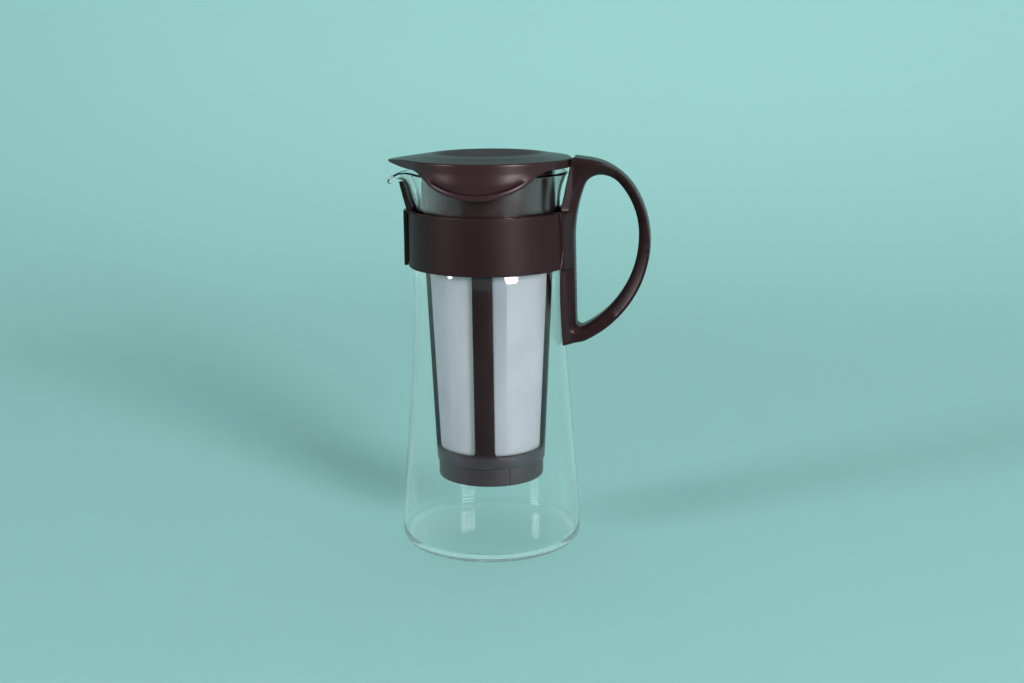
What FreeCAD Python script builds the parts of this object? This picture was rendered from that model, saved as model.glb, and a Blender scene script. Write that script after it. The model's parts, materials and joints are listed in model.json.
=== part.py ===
import FreeCAD, Part
import math
import os
import re
import Sketcher
from FreeCAD import Placement, Rotation, Vector

# A cold brew coffee maker: a flared glass jug, a plastic neck band with a loop handle and a
# clasp, a long mesh strainer that hangs in the neck, and a lid that rests on the strainer.
# Millimetres, +Z up. The origin is the middle of the jug's foot, the handle points to +X and
# the spout to -X. Heights are measured from the table.

doc = FreeCAD.newDocument("ColdBrewMaker")

sizes = {
    "fullTurn": 360,
    # Glass jug
    "footRadius": 46.4,
    "footRound": 5.0,
    "wallThick": 1.7,
    "floorThick": 2.8,
    "innerRound": 3.5,
    "heelDraw": 0.7,
    "heelHeight": 23.0,
    "shoulderDraw": 1.25,
    "shoulderDrop": 30.0,
    "neckRadius": 38.4,
    "neckLength": 15.0,
    "waistDraw": 2.0,
    "waistRise": 32.5,
    "taperHeight": 12.0,
    "rimFlare": 3.9,
    "rimRise": 16.3,
    "rimHeight": 191.8,
    # Spout: a channel drawn out of the neck, in steps from its root to its lip
    "spoutRootInset": 2.4,
    "spoutRootDrop": 24.8,
    "spoutRootHalf": 17.0,
    "spoutThroatRun": 4.9,
    "spoutThroatRise": 9.8,
    "spoutThroatHalf": 14.0,
    "spoutBrowRun": 3.1,
    "spoutBrowRise": 8.8,
    "spoutBrowHalf": 11.0,
    "spoutBendRun": 2.5,
    "spoutBendRise": 1.9,
    "spoutBendDrop": 0.6,
    "spoutBendHalf": 9.0,
    "spoutNoseRun": 3.7,
    "spoutNoseFall": 0.5,
    "spoutNoseDrop": 2.0,
    "spoutNoseHalf": 6.6,
    "spoutLipRun": 3.6,
    "spoutLipFall": 2.1,
    "spoutLipDrop": 2.7,
    "spoutLipHalf": 4.0,
    "spoutSideShare": 0.2,
    # Neck band
    "bandLift": 1.5,
    "bandHeight": 28.3,
    "bandGap": 0.2,
    "bandThick": 2.2,
    "bandTopDraw": 0.4,
    "bandRound": 0.6,
    "bandSplit": 0.4,
    "webThick": 1.0,
    "seamHalf": 14.2,
    "seamSweep": 52.0,
    "seamGap": 0.12,
    "tongueSink": 2.8,
    "tongueReach": 4.4,
    "tongueThick": 2.3,
    "tongueRise": 13.6,
    "tongueTipHalf": 4.2,
    "tongueTipRound": 2.0,
    "tongueWaistHalf": 6.4,
    "tongueWaistRise": 6.2,
    "tongueFootHalf": 15.0,
    # Dovetail rail on the band's two ends, and the clasp that slides over it
    "railRootHalf": 3.2,
    "railFaceHalf": 4.4,
    "railRise": 1.05,
    "railLift": 2.3,
    "slideGap": 0.1,
    "claspThick": 1.9,
    "claspHalf": 9.0,
    "claspHookHalf": 6.5,
    "claspHookDepth": 0.7,
    "claspHookDrop": 1.4,
    "claspLift": 0.4,
    "claspTopDrop": 0.2,
    "claspFloor": 1.5,
    "claspRound": 0.9,
    # Handle, in steps round its loop and round the opening
    "gripThick": 17.5,
    "gripRound": 1.4,
    "openingRound": 2.6,
    "postInset": 2.6,
    "postDrop": 40.2,
    "postRise": 7.8,
    "postClear": 3.4,
    "gripStartRun": 6.1,
    "gripStartFall": 0.8,
    "gripTopRun": 24.7,
    "gripTopFall": 15.8,
    "gripSideRun": 1.9,
    "gripSideFall": 49.0,
    "gripLowAngle": 38.452,
    "gripEndRun": 13.1,
    "gripEndRise": 2.7,
    "openTopRun": 7.9,
    "openTopFall": 8.25,
    "openShoulderInset": 8.5,
    "openShoulderRise": 3.4,
    "openSideRun": 1.4,
    "openSideFall": 20.8,
    "openLowInset": 0.8,
    "openLowRise": 7.4,
    "openCornerRun": 3.5,
    "openCornerRise": 2.05,
    "openPostLean": 0.9,
    "openPostRise": 42.15,
    "openCrownRun": 9.2,
    "openCrownFall": 5.75,
    "saddleHalf": 11.8,
    "saddleThick": 2.6,
    "rootSink": 0.6,
    "rootInnerSink": 3.6,
    "glassGap": 0.5,
    "pegRadius": 2.0,
    "pegGap": 0.05,
    "pegLength": 2.0,
    "pegLift": 6.5,
    "pegSpacing": 15.0,
    # Strainer
    "pourGap": 0.9,
    "collarDrop": 15.8,
    "frameWall": 2.8,
    "frameDraw": 5.8,
    "coneHeight": 132.2,
    "ribWidth": 10.0,
    "windowLift": 6.6,
    "windowDrop": 9.0,
    "windowRound": 3.0,
    "windowCount": 4,
    "windowAngle": 47.5,
    "meshThick": 0.5,
    "meshInset": 2.1,
    "meshGap": 0.05,
    "lugProud": 0.1,
    "lugThick": 2.5,
    "lugHalf": 16.0,
    "seatGap": 0.1,
    "cutMargin": 1.0,
    # Strainer cap
    "capInset": 0.8,
    "capDepth": 9.3,
    "capWall": 1.8,
    "capRound": 1.2,
    "capSeam": 0.2,
    "spigotRise": 4.4,
    "spigotGap": 0.1,
    "capNotchWidth": 0.6,
    "capNotchDepth": 0.4,
    "capNotchAngle": 28.0,
    # Lid
    "lidOverhang": 1.6,
    "lidDeep": 4.4,
    "lidTipDraw": 9.1,
    "lidTipRound": 6.0,
    "lidTipLift": 2.2,
    "lidTipFall": 1.2,
    "lidEdgeRound": 0.9,
    "lidWall": 2.2,
    "lidRim": 3.2,
    "plateauInset": 12.4,
    "plateauRise": 2.0,
    "plateauStep": 0.7,
    "plateauSlope": 1.6,
    "lidRingGap": 0.3,
    "lidRingWall": 1.8,
    "lidRingDrop": 6.5,
    "skirtGap": 0.5,
    "skirtThick": 1.7,
    "skirtDrop": 13.3,
    "skirtCornerHalf": 23.0,
    "skirtCornerRise": 6.2,
    "skirtSideHalf": 28.0,
    "skirtSideRise": 10.1,
    "skirtRootHalf": 34.8,
    "skirtRootSweep": 8.0,
    "scoopDepth": 0.9,
    "scoopLip": 2.6,
    "scoopHalf": 22.0,
    "scoopEndRise": 8.4,
    "scoopWidth": 2.8,
    "scoopEndRound": 1.6,
}

# Places and sizes that follow from the ones above, so that what fits together stays together.
derived = {
    "waistRadius": "neckRadius - waistDraw",
    "rimRadius": "waistRadius + rimFlare",
    "waistHeight": "rimHeight - rimRise",
    "neckTop": "waistHeight - waistRise",
    "neckFoot": "neckTop - neckLength",
    "shoulderHeight": "neckFoot - shoulderDrop",
    "spoutRootReach": "waistRadius - spoutRootInset",
    "spoutThroatReach": "spoutRootReach + spoutThroatRun",
    "spoutBrowReach": "spoutThroatReach + spoutBrowRun",
    "spoutBendReach": "spoutBrowReach + spoutBendRun",
    "spoutNoseReach": "spoutBendReach + spoutNoseRun",
    "spoutLipReach": "spoutNoseReach + spoutLipRun",
    "spoutRootKeel": "rimHeight - spoutRootDrop",
    "spoutThroatKeel": "spoutRootKeel + spoutThroatRise",
    "spoutBrowKeel": "spoutThroatKeel + spoutBrowRise",
    "spoutBendKeel": "spoutBrowKeel + spoutBendRise",
    "spoutNoseKeel": "spoutBendKeel - spoutNoseFall",
    "spoutLipKeel": "spoutNoseKeel - spoutLipFall",
    "spoutBendTop": "rimHeight - spoutBendDrop",
    "spoutNoseTop": "spoutBendTop - spoutNoseDrop",
    "spoutLipTop": "spoutNoseTop - spoutLipDrop",
    "bandBottom": "neckTop + bandLift",
    "bandTop": "bandBottom + bandHeight",
    "bandBore": "neckRadius + bandGap",
    "tongueRoot": "bandTop - tongueSink",
    "tongueTopInner": "bandBore + tongueReach",
    "tongueTopOuter": "tongueTopInner + tongueThick",
    "tongueTop": "bandTop + tongueRise",
    "tongueWaistHeight": "bandTop + tongueWaistRise",
    "railFace": "bandBore + bandThick + railRise",
    "railBottom": "bandBottom + railLift",
    "claspBottom": "bandBottom + claspLift",
    "claspTop": "bandTop - claspTopDrop",
    "postBottomReach": "bandBore - postInset",
    "postBottom": "bandBottom - postDrop",
    "postTop": "rimHeight + postRise",
    "postLean": "rimRadius + postClear",
    "saddleReach": "bandBore + bandThick + saddleThick",
    "rootReach": "bandBore - rootSink",
    "rootInnerReach": "bandBore - rootInnerSink",
    "pegLow": "bandBottom + pegLift",
    "pegHigh": "pegLow + pegSpacing",
    "collarRadius": "waistRadius - wallThick - pourGap",
    "collarFoot": "rimHeight - collarDrop",
    "collarTop": "rimHeight + seatGap + lugThick",
    "frameFootRadius": "collarRadius - frameDraw",
    "frameFoot": "collarFoot - coneHeight",
    "windowBottom": "frameFoot + windowLift",
    "windowTop": "collarFoot - windowDrop",
    "lugReach": "rimRadius + lugProud",
    "capRadius": "frameFootRadius - capInset",
    "capBottom": "frameFoot - capDepth",
    "lidBottom": "collarTop + seatGap",
    "lidTop": "lidBottom + lidDeep",
    "lidRadius": "rimRadius + lidOverhang",
    "lidTipReach": "lidRadius + lidTipDraw",
    "plateauRadius": "lidRadius - plateauInset",
    "skirtInner": "rimRadius + skirtGap",
    "skirtOuter": "skirtInner + skirtThick",
    "skirtBottom": "lidBottom - skirtDrop",
    "skirtCorner": "skirtBottom + skirtCornerRise",
    "skirtSide": "skirtBottom + skirtSideRise",
    "scoopEnd": "skirtBottom + scoopEndRise",
    "scoopTop": "scoopEnd + scoopWidth",
}

sheet = doc.addObject("Spreadsheet::Sheet", "Sizes")
for row, (alias, size) in enumerate(sizes.items(), start=1):
    sheet.set(f"A{row}", alias)
    sheet.set(f"B{row}", str(size))
    sheet.setAlias(f"B{row}", alias)
doc.recompute()

tolerance = 0.01  # for telling edges apart by their place


def inSheet(formula):
    # A name in a formula stands for the sheet's cell of that name, or for a derived formula.
    def spelledOut(match):
        name = match.group()
        return f"({inSheet(derived[name])})" if name in derived else f"Sizes.{name}"
    return re.sub(r"\b[a-z]+[A-Z]\w*\b", spelledOut, str(formula))


def number(formula):
    # The present value of a formula, in millimetres or degrees.
    return float(sheet.evalExpression(inSheet(formula)))


def bind(thing, name, formula):
    # Ties a property to the sheet.
    thing.setExpression(name, inSheet(formula))


def upright(sideways, rise):
    # Radius of the arc that starts upright and moves sideways while it rises.
    return f"(({rise})^2 + ({sideways})^2) / (2 * abs({sideways}))"


def heading(begin, end):
    # The direction from one corner to another, in degrees.
    return f"atan2({end[1]} - ({begin[1]}); {end[0]} - ({begin[0]})) / (1 deg)"


def flowing(corners, leaving):
    # Arcs through the corners, each tangent to the next, and the direction in which the last one
    # ends. The first one leaves its corner in the direction of leaving.
    loop = []
    for begin, end in zip(corners, corners[1:]):
        chord = heading(begin, end)
        apart = f"sqrt(({end[0]} - ({begin[0]}))^2 + ({end[1]} - ({begin[1]}))^2)"
        loop.append((*end, f"{apart} / (2 * sin({chord} - ({leaving})))"))
        leaving = f"2 * {chord} - ({leaving})"
    return loop, leaving


def runningInto(begin, leaving, corner, line):
    # The arc that leaves one corner in a direction and joins, tangent to it, the line that runs
    # to another corner.
    across = f"({corner[1]} - ({begin[1]})) * cos({line}) - ({corner[0]} - ({begin[0]})) * sin({line})"
    radius = f"({across}) / (cos({leaving} - ({line})) - 1)"
    sideways = f"{begin[0]} + {radius} * (sin({line}) - sin({leaving}))"
    upwards = f"{begin[1]} + {radius} * (cos({leaving}) - cos({line}))"
    return (sideways, upwards, radius)


def stepped(corner, run, rise):
    # The corner that lies a run outwards and a rise upwards from another.
    return (f"{corner[0]} + {run}", f"{corner[1]} + {rise}")


def newBody(name):
    body = doc.addObject("PartDesign::Body", name)
    body.Label = name
    return body


def originOf(body, role):
    # A plane or an axis of the body's own origin.
    return [datum for datum in body.Origin.OriginFeatures if datum.Role == role][0]


def outline(body, name, plane, loops, lift="0", turn="0"):
    # A sketch on one of the body's planes, lifted off it and swung about the plane's own Y.
    # Each loop is a list of (x, y) corners joined by straight lines. A corner with a third
    # formula is reached by an arc of that radius, which turns left, or right if it is negative.
    sketch = body.newObject("Sketcher::SketchObject", name)
    sketch.AttachmentSupport = [(originOf(body, plane), "")]
    sketch.MapMode = "FlatFace"
    sketch.AttachmentOffset = Placement(Vector(), Rotation(Vector(0, 1, 0), number(turn)))
    if turn != "0" and lift != "0":
        bind(sketch, ".AttachmentOffset.Base.x", f"({lift}) * sin({turn})")
        lift = f"({lift}) * cos({turn})"
    bind(sketch, ".AttachmentOffset.Base.z", lift)
    for loop in loops:
        addLoop(sketch, loop)
    doc.recompute()
    return sketch


def addLoop(sketch, loop):
    # Joins the corners end to end and ties each one to the sheet.
    points = [Vector(number(corner[0]), number(corner[1]), 0) for corner in loop]
    first = sketch.GeometryCount
    starts = []
    ends = []
    for index, corner in enumerate(loop):
        begin = points[index - 1]
        finish = points[index]
        if len(corner) == 2:
            sketch.addGeometry(Part.LineSegment(begin, finish))
            leftTurn = True
        else:
            radius = number(corner[2])
            leftTurn = radius > 0
            sketch.addGeometry(arcBetween(begin, finish, radius))
        starts.append(1 if leftTurn else 2)
        ends.append(2 if leftTurn else 1)
    for index, corner in enumerate(loop):
        edge = first + index
        following = (index + 1) % len(loop)
        sketch.addConstraint(Sketcher.Constraint(
            "Coincident", edge, ends[index], first + following, starts[following]))
        place(sketch, "DistanceX", edge, ends[index], corner[0])
        place(sketch, "DistanceY", edge, ends[index], corner[1])
        if len(corner) == 3:
            sizeRadius(sketch, edge, f"abs({corner[2]})")


def arcBetween(begin, finish, radius):
    # The shorter arc between two points, to the left for a positive radius.
    half = (finish - begin) / 2
    across = Vector(-half.y, half.x, 0).normalize()
    reach = math.sqrt(max(radius ** 2 - half.Length ** 2, 0))
    centre = begin + half + across * math.copysign(reach, radius)
    low, high = (begin, finish) if radius > 0 else (finish, begin)
    lowAngle = math.atan2(low.y - centre.y, low.x - centre.x)
    highAngle = math.atan2(high.y - centre.y, high.x - centre.x)
    circle = Part.Circle(centre, Vector(0, 0, 1), abs(radius))
    return Part.ArcOfCircle(circle, lowAngle, highAngle)


def place(sketch, kind, edge, end, formula):
    # Holds one end of an edge, or its centre as end 3, at a distance from the sketch's origin.
    distance = Sketcher.Constraint(kind, -1, 1, edge, end, number(formula))
    bind(sketch, f"Constraints[{sketch.addConstraint(distance)}]", formula)


def sizeRadius(sketch, edge, formula):
    radius = sketch.addConstraint(Sketcher.Constraint("Radius", edge, number(formula)))
    bind(sketch, f"Constraints[{radius}]", formula)


def discs(body, name, plane, circles, lift="0"):
    # A sketch of whole circles, each given as (x, y, radius).
    sketch = outline(body, name, plane, [], lift)
    for circle in circles:
        centre = Vector(number(circle[0]), number(circle[1]), 0)
        edge = sketch.addGeometry(Part.Circle(centre, Vector(0, 0, 1), number(circle[2])))
        place(sketch, "DistanceX", edge, 3, circle[0])
        place(sketch, "DistanceY", edge, 3, circle[1])
        sizeRadius(sketch, edge, circle[2])
    doc.recompute()
    return sketch


def feature(body, kind, name, profile, **settings):
    # Adds a feature to a body. A cut that removes nothing is an error.
    before = body.Shape.Volume if body.Tip else 0
    made = body.newObject(f"PartDesign::{kind}", name)
    made.Profile = profile
    for setting, choice in settings.items():
        if setting in ("Length", "Angle"):
            bind(made, setting, choice)
        else:
            setattr(made, setting, choice)
    doc.recompute()
    removes = kind in ("Pocket", "Groove", "SubtractiveLoft")
    if removes and not body.Shape.Volume < before:
        raise RuntimeError(f"{name} cuts nothing")
    return made


def revolve(body, name, sketch, kind="Revolution"):
    # A whole turn about the jug's axis.
    return feature(body, kind, name, sketch, ReferenceAxis=(sketch, ["V_Axis"]), Angle="fullTurn")


def groove(body, name, sketch):
    return revolve(body, name, sketch, kind="Groove")


def roundEdges(body, name, base, radius, chosen):
    # Rounds the edges of a feature that a test picks out.
    edges = [f"Edge{index}" for index, edge in enumerate(base.Shape.Edges, start=1) if chosen(edge)]
    if not edges:
        raise RuntimeError(f"{name} finds no edge")
    made = body.newObject("PartDesign::Fillet", name)
    made.Base = (base, edges)
    bind(made, "Radius", radius)
    doc.recompute()
    return made


def circleAt(edge, height):
    # Whether an edge lies flat at a height.
    box = edge.BoundBox
    return box.ZLength < tolerance and abs(box.ZMin - number(height)) < tolerance


# Glass jug

def wallCorners(inset):
    # Outer wall from the foot to the rim, moved inwards by a wall.
    half = "(neckRadius - waistRadius) / 2"
    return [
        (f"footRadius - heelDraw - {inset}", "heelHeight"),
        (f"neckRadius + shoulderDraw - {inset}", "shoulderHeight"),
        (f"neckRadius - {inset}", "neckFoot", f"-({upright('shoulderDraw', 'neckFoot - shoulderHeight')})"),
        (f"neckRadius - {inset}", "neckTop"),
        (f"neckRadius - {half} - {inset}", "neckTop + taperHeight / 2", upright(half, "taperHeight / 2")),
        (f"waistRadius - {inset}", "neckTop + taperHeight", f"-({upright(half, 'taperHeight / 2')})"),
        (f"waistRadius - {inset}", "waistHeight"),
        (f"rimRadius - {inset}", "rimHeight",
         f"-({upright('rimRadius - waistRadius', 'rimHeight - waistHeight')})"),
    ]


def spoutSection(body, name, reach, keel, top, half):
    # One cross-section of the spout's channel, round below and open at the top.
    edge = f"{top} - spoutSideShare * ({top} - ({keel}))"
    deep = f"(1 - spoutSideShare) * ({top} - ({keel}))"
    bow = f"(({half})^2 + ({deep})^2) / (2 * ({deep}))"
    return outline(body, name, "YZ_Plane", [[
        (f"-({half})", top),
        (f"-({half})", edge),
        (half, edge, bow),
        (half, top),
    ]], lift=f"-({reach})")


def loft(body, kind, name, sections):
    # A smooth skin through the sections.
    return feature(body, kind, name, sections[0], Sections=sections[1:], Ruled=False)


def jugSpout(body, name, shift, wall, mouth):
    # The sections from root to lip. For the inside, the steep part of the keel moves inwards by
    # a wall and the flat part moves up by it.
    steep = [
        ("Root", "spoutRootReach", "spoutRootKeel", "spoutRootHalf"),
        ("Throat", "spoutThroatReach", "spoutThroatKeel", "spoutThroatHalf"),
        ("Brow", "spoutBrowReach", "spoutBrowKeel", "spoutBrowHalf"),
    ]
    flat = [
        ("Bend", "spoutBendReach", "spoutBendKeel", "spoutBendTop", "spoutBendHalf"),
        ("Nose", "spoutNoseReach", "spoutNoseKeel", "spoutNoseTop", "spoutNoseHalf"),
        ("Lip", f"spoutLipReach + {mouth}", "spoutLipKeel", "spoutLipTop", "spoutLipHalf"),
    ]
    sections = []
    for spot, reach, keel, half in steep:
        sections.append(spoutSection(body, name + spot, f"{reach} - {shift}", keel,
                                     f"rimHeight + {wall}", f"{half} - {wall}"))
    for spot, reach, keel, top, half in flat:
        sections.append(spoutSection(body, name + spot, reach, f"{keel} + {wall}",
                                     f"{top} + {wall}", f"{half} - {wall}"))
    return sections


def makeJug():
    # The blown wall flares at the foot and the rim. The spout is drawn out of the neck.
    body = newBody("glass_jug")
    outside = outline(body, "jugOutside", "XZ_Plane", [[
        ("0", "0"),
        ("footRadius - footRound", "0"),
        ("footRadius", "footRound", "footRound"),
        *wallCorners("0"),
        ("0", "rimHeight"),
    ]])
    revolve(body, "jugBlank", outside)
    loft(body, "AdditiveLoft", "spoutBlank", jugSpout(body, "spoutOutside", "0", "0", "0"))
    inside = outline(body, "jugInside", "XZ_Plane", [[
        ("0", "floorThick"),
        ("footRadius - wallThick - innerRound", "floorThick"),
        ("footRadius - wallThick", "floorThick + innerRound", "innerRound"),
        *wallCorners("wallThick"),
        ("rimRadius - wallThick", "rimHeight + cutMargin"),
        ("0", "rimHeight + cutMargin"),
    ]])
    groove(body, "jugHollow", inside)
    channel = jugSpout(body, "spoutInside", "wallThick", "wallThick", "cutMargin")
    loft(body, "SubtractiveLoft", "spoutChannel", channel)
    return body


# Neck band

def mirrored(loop):
    # The same loop on the other side of the middle line.
    flipped = []
    for corner in loop:
        turned = [f"-({corner[0]})", corner[1]]
        if len(corner) == 3:
            turned.append(f"-({corner[2]})")
        flipped.append(tuple(turned))
    return flipped


def partObject(kind, name, lift="0", **settings):
    # A plain primitive or boolean beside the bodies. Formulas are bound, objects are set.
    made = doc.addObject(kind, name)
    for setting, choice in settings.items():
        if isinstance(choice, str):
            bind(made, setting, choice)
        else:
            setattr(made, setting, choice)
    bind(made, "Placement.Base.z", lift)
    doc.recompute()
    return made


def sleeve(name, inner, outer, bottom, top):
    # A plain ring round the jug's axis, used as a cutting tool.
    height = f"{top} - ({bottom})"
    outside = partObject("Part::Cylinder", name + "Outside", bottom, Radius=outer, Height=height)
    inside = partObject("Part::Cylinder", name + "Inside", bottom, Radius=inner, Height=height)
    return partObject("Part::Cut", name, Base=outside, Tool=inside)


def seamLoop(inset):
    # The band's opening for the handle's root, seen along X: waisted between two arcs.
    half = f"seamHalf + seamSweep - sqrt(seamSweep^2 - ((bandTop - bandBottom) / 2)^2) - {inset}"
    return [
        (f"-({half})", "bandBottom", "-seamSweep"),
        (half, "bandBottom"),
        (half, "bandTop", "-seamSweep"),
        (f"-({half})", "bandTop"),
    ]


def onArc(radius, half, side):
    # A point of a circle round the jug's axis, on the spout's side, by its distance sideways.
    return (f"-sqrt(({radius})^2 - ({half})^2)", f"{side}({half})")


def makeBand():
    # One springy strap, split at the spout, with a tongue up the spout's front, two half rails
    # for the clasp and a thin web behind the handle's root.
    body = newBody("band_blank")
    outer = "bandBore + bandThick"
    ring = outline(body, "bandProfile", "XZ_Plane", [[
        ("bandBore", "bandBottom"),
        (outer, "bandBottom"),
        (f"{outer} - bandTopDraw", "bandTop"),
        ("bandBore", "bandTop"),
    ]])
    blank = revolve(body, "bandRing", ring)
    roundEdges(body, "bandEdges", blank, "bandRound", lambda edge: (
        (circleAt(edge, "bandBottom") or circleAt(edge, "bandTop"))
        and edge.BoundBox.XMax > number("bandBore + bandThick / 2")))
    tongue = outline(body, "tongueProfile", "XZ_Plane", [[
        ("-bandBore", "tongueRoot"),
        ("-bandBore", "bandTop"),
        ("-tongueTopInner", "tongueTop"),
        ("-tongueTopOuter", "tongueTop"),
        (f"-({outer} - bandTopDraw)", "tongueRoot"),
    ]])
    feature(body, "Revolution", "tongueBlank", tongue, ReferenceAxis=(tongue, ["V_Axis"]),
            Angle="2 * asin(tongueFootHalf / bandBore)", Midplane=True)
    foot = upright("tongueWaistHeight - bandTop", "tongueFootHalf - tongueWaistHalf")
    beside = [
        ("tongueTipHalf - tongueTipRound", "tongueTop"),
        ("tongueTipHalf", "tongueTop - tongueTipRound", "-tongueTipRound"),
        ("tongueWaistHalf", "tongueWaistHeight"),
        ("tongueFootHalf", "bandTop", foot),
        ("tongueTopOuter", "bandTop"),
        ("tongueTopOuter", "tongueTop + cutMargin"),
        ("tongueTipHalf - tongueTipRound", "tongueTop + cutMargin"),
    ]
    sides = outline(body, "tongueSides", "YZ_Plane", [beside, mirrored(beside)])
    feature(body, "Pocket", "tongueShape", sides, Type="ThroughAll")
    rails = outline(body, "railProfile", "XY_Plane", [[
        ("-(bandBore + bandThick / 2)", "-railRootHalf"),
        ("-(bandBore + bandThick / 2)", "railRootHalf"),
        onArc("railFace", "railFaceHalf", ""),
        (*onArc("railFace", "railFaceHalf", "-"), "railFace"),
    ]], lift="railBottom")
    feature(body, "Pad", "clampRails", rails, Length="bandTop - bandRound - railBottom")
    split = outline(body, "splitProfile", "XY_Plane", [[
        ("-tongueTopOuter - cutMargin", "-bandSplit / 2"),
        ("0", "-bandSplit / 2"),
        ("0", "bandSplit / 2"),
        ("-tongueTopOuter - cutMargin", "bandSplit / 2"),
    ]])
    feature(body, "Pocket", "bandSlit", split, Type="ThroughAll", Reversed=True)
    pegs = discs(body, "pegHoleProfile", "YZ_Plane", [
        ("0", "pegLow", "pegRadius + pegGap"),
        ("0", "pegHigh", "pegRadius + pegGap"),
    ])
    feature(body, "Pocket", "pegHoles", pegs, Type="ThroughAll", Reversed=True)

    recess = newBody("band_recess_bar")
    seam = outline(recess, "recessProfile", "YZ_Plane", [seamLoop("0")])
    clear = "bandBore + bandThick + cutMargin"
    feature(recess, "Pad", "recessBar", seam, Length=clear)
    ring = sleeve("recessSleeve", "bandBore + webThick", clear,
                  "bandBottom - cutMargin", "bandTop + cutMargin")
    tool = partObject("Part::Common", "bandRecess", Base=ring, Tool=recess)
    band = partObject("Part::Cut", "neckBand", Base=body, Tool=tool)
    band.Label = "neck_band"
    return band


def makeClasp():
    # A curved plate whose two hooks slide down over the rails until its floor meets their foot.
    body = newBody("band_clasp")
    inner = "(railFace + slideGap)"
    outer = f"({inner} + claspThick)"
    plate = outline(body, "claspPlateProfile", "XY_Plane", [[
        (*onArc(outer, "claspHalf", "-"), outer),
        onArc(inner, "claspHalf", "-"),
        (*onArc(inner, "claspHalf", ""), f"-{inner}"),
        onArc(outer, "claspHalf", ""),
    ]], lift="claspBottom")
    feature(body, "Pad", "claspPlate", plate, Length="claspTop - claspBottom")
    flank = "railFaceHalf + slideGap"
    railCorner = "sqrt(railFace^2 - railFaceHalf^2)"
    lean = f"(railFaceHalf - railRootHalf) / ({railCorner} - bandBore - bandThick / 2)"
    toe = (f"-({railCorner} - claspHookDepth)", f"{flank} - claspHookDepth * {lean}")
    embedded = f"({inner} + claspThick / 4)"
    hook = [
        onArc(inner, flank, ""),
        toe,
        onArc("railFace - claspHookDepth", "claspHookHalf", ""),
        onArc(embedded, "claspHookHalf", ""),
        onArc(embedded, flank, ""),
    ]
    across = [(corner[0], f"-({corner[1]})") for corner in hook]
    hooks = outline(body, "claspHookProfile", "XY_Plane", [hook, across], lift="claspBottom")
    feature(body, "Pad", "claspHooks", hooks, Length="claspTop - claspHookDrop - claspBottom")
    floor = outline(body, "claspFloorProfile", "XY_Plane", [[
        (f"-{embedded}", f"-({flank})"),
        (toe[0], f"-({flank})"),
        (toe[0], flank),
        (f"-{embedded}", flank),
    ]], lift="claspBottom")
    stop = feature(body, "Pad", "claspStop", floor, Length="claspFloor")
    corner = number(f"sqrt({outer}^2 - claspHalf^2)")
    roundEdges(body, "claspCorners", stop, "claspRound", lambda edge: (
        edge.BoundBox.XLength < tolerance and edge.BoundBox.YLength < tolerance
        and abs(edge.BoundBox.XMin + corner) < tolerance))
    return body


# Handle

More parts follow.
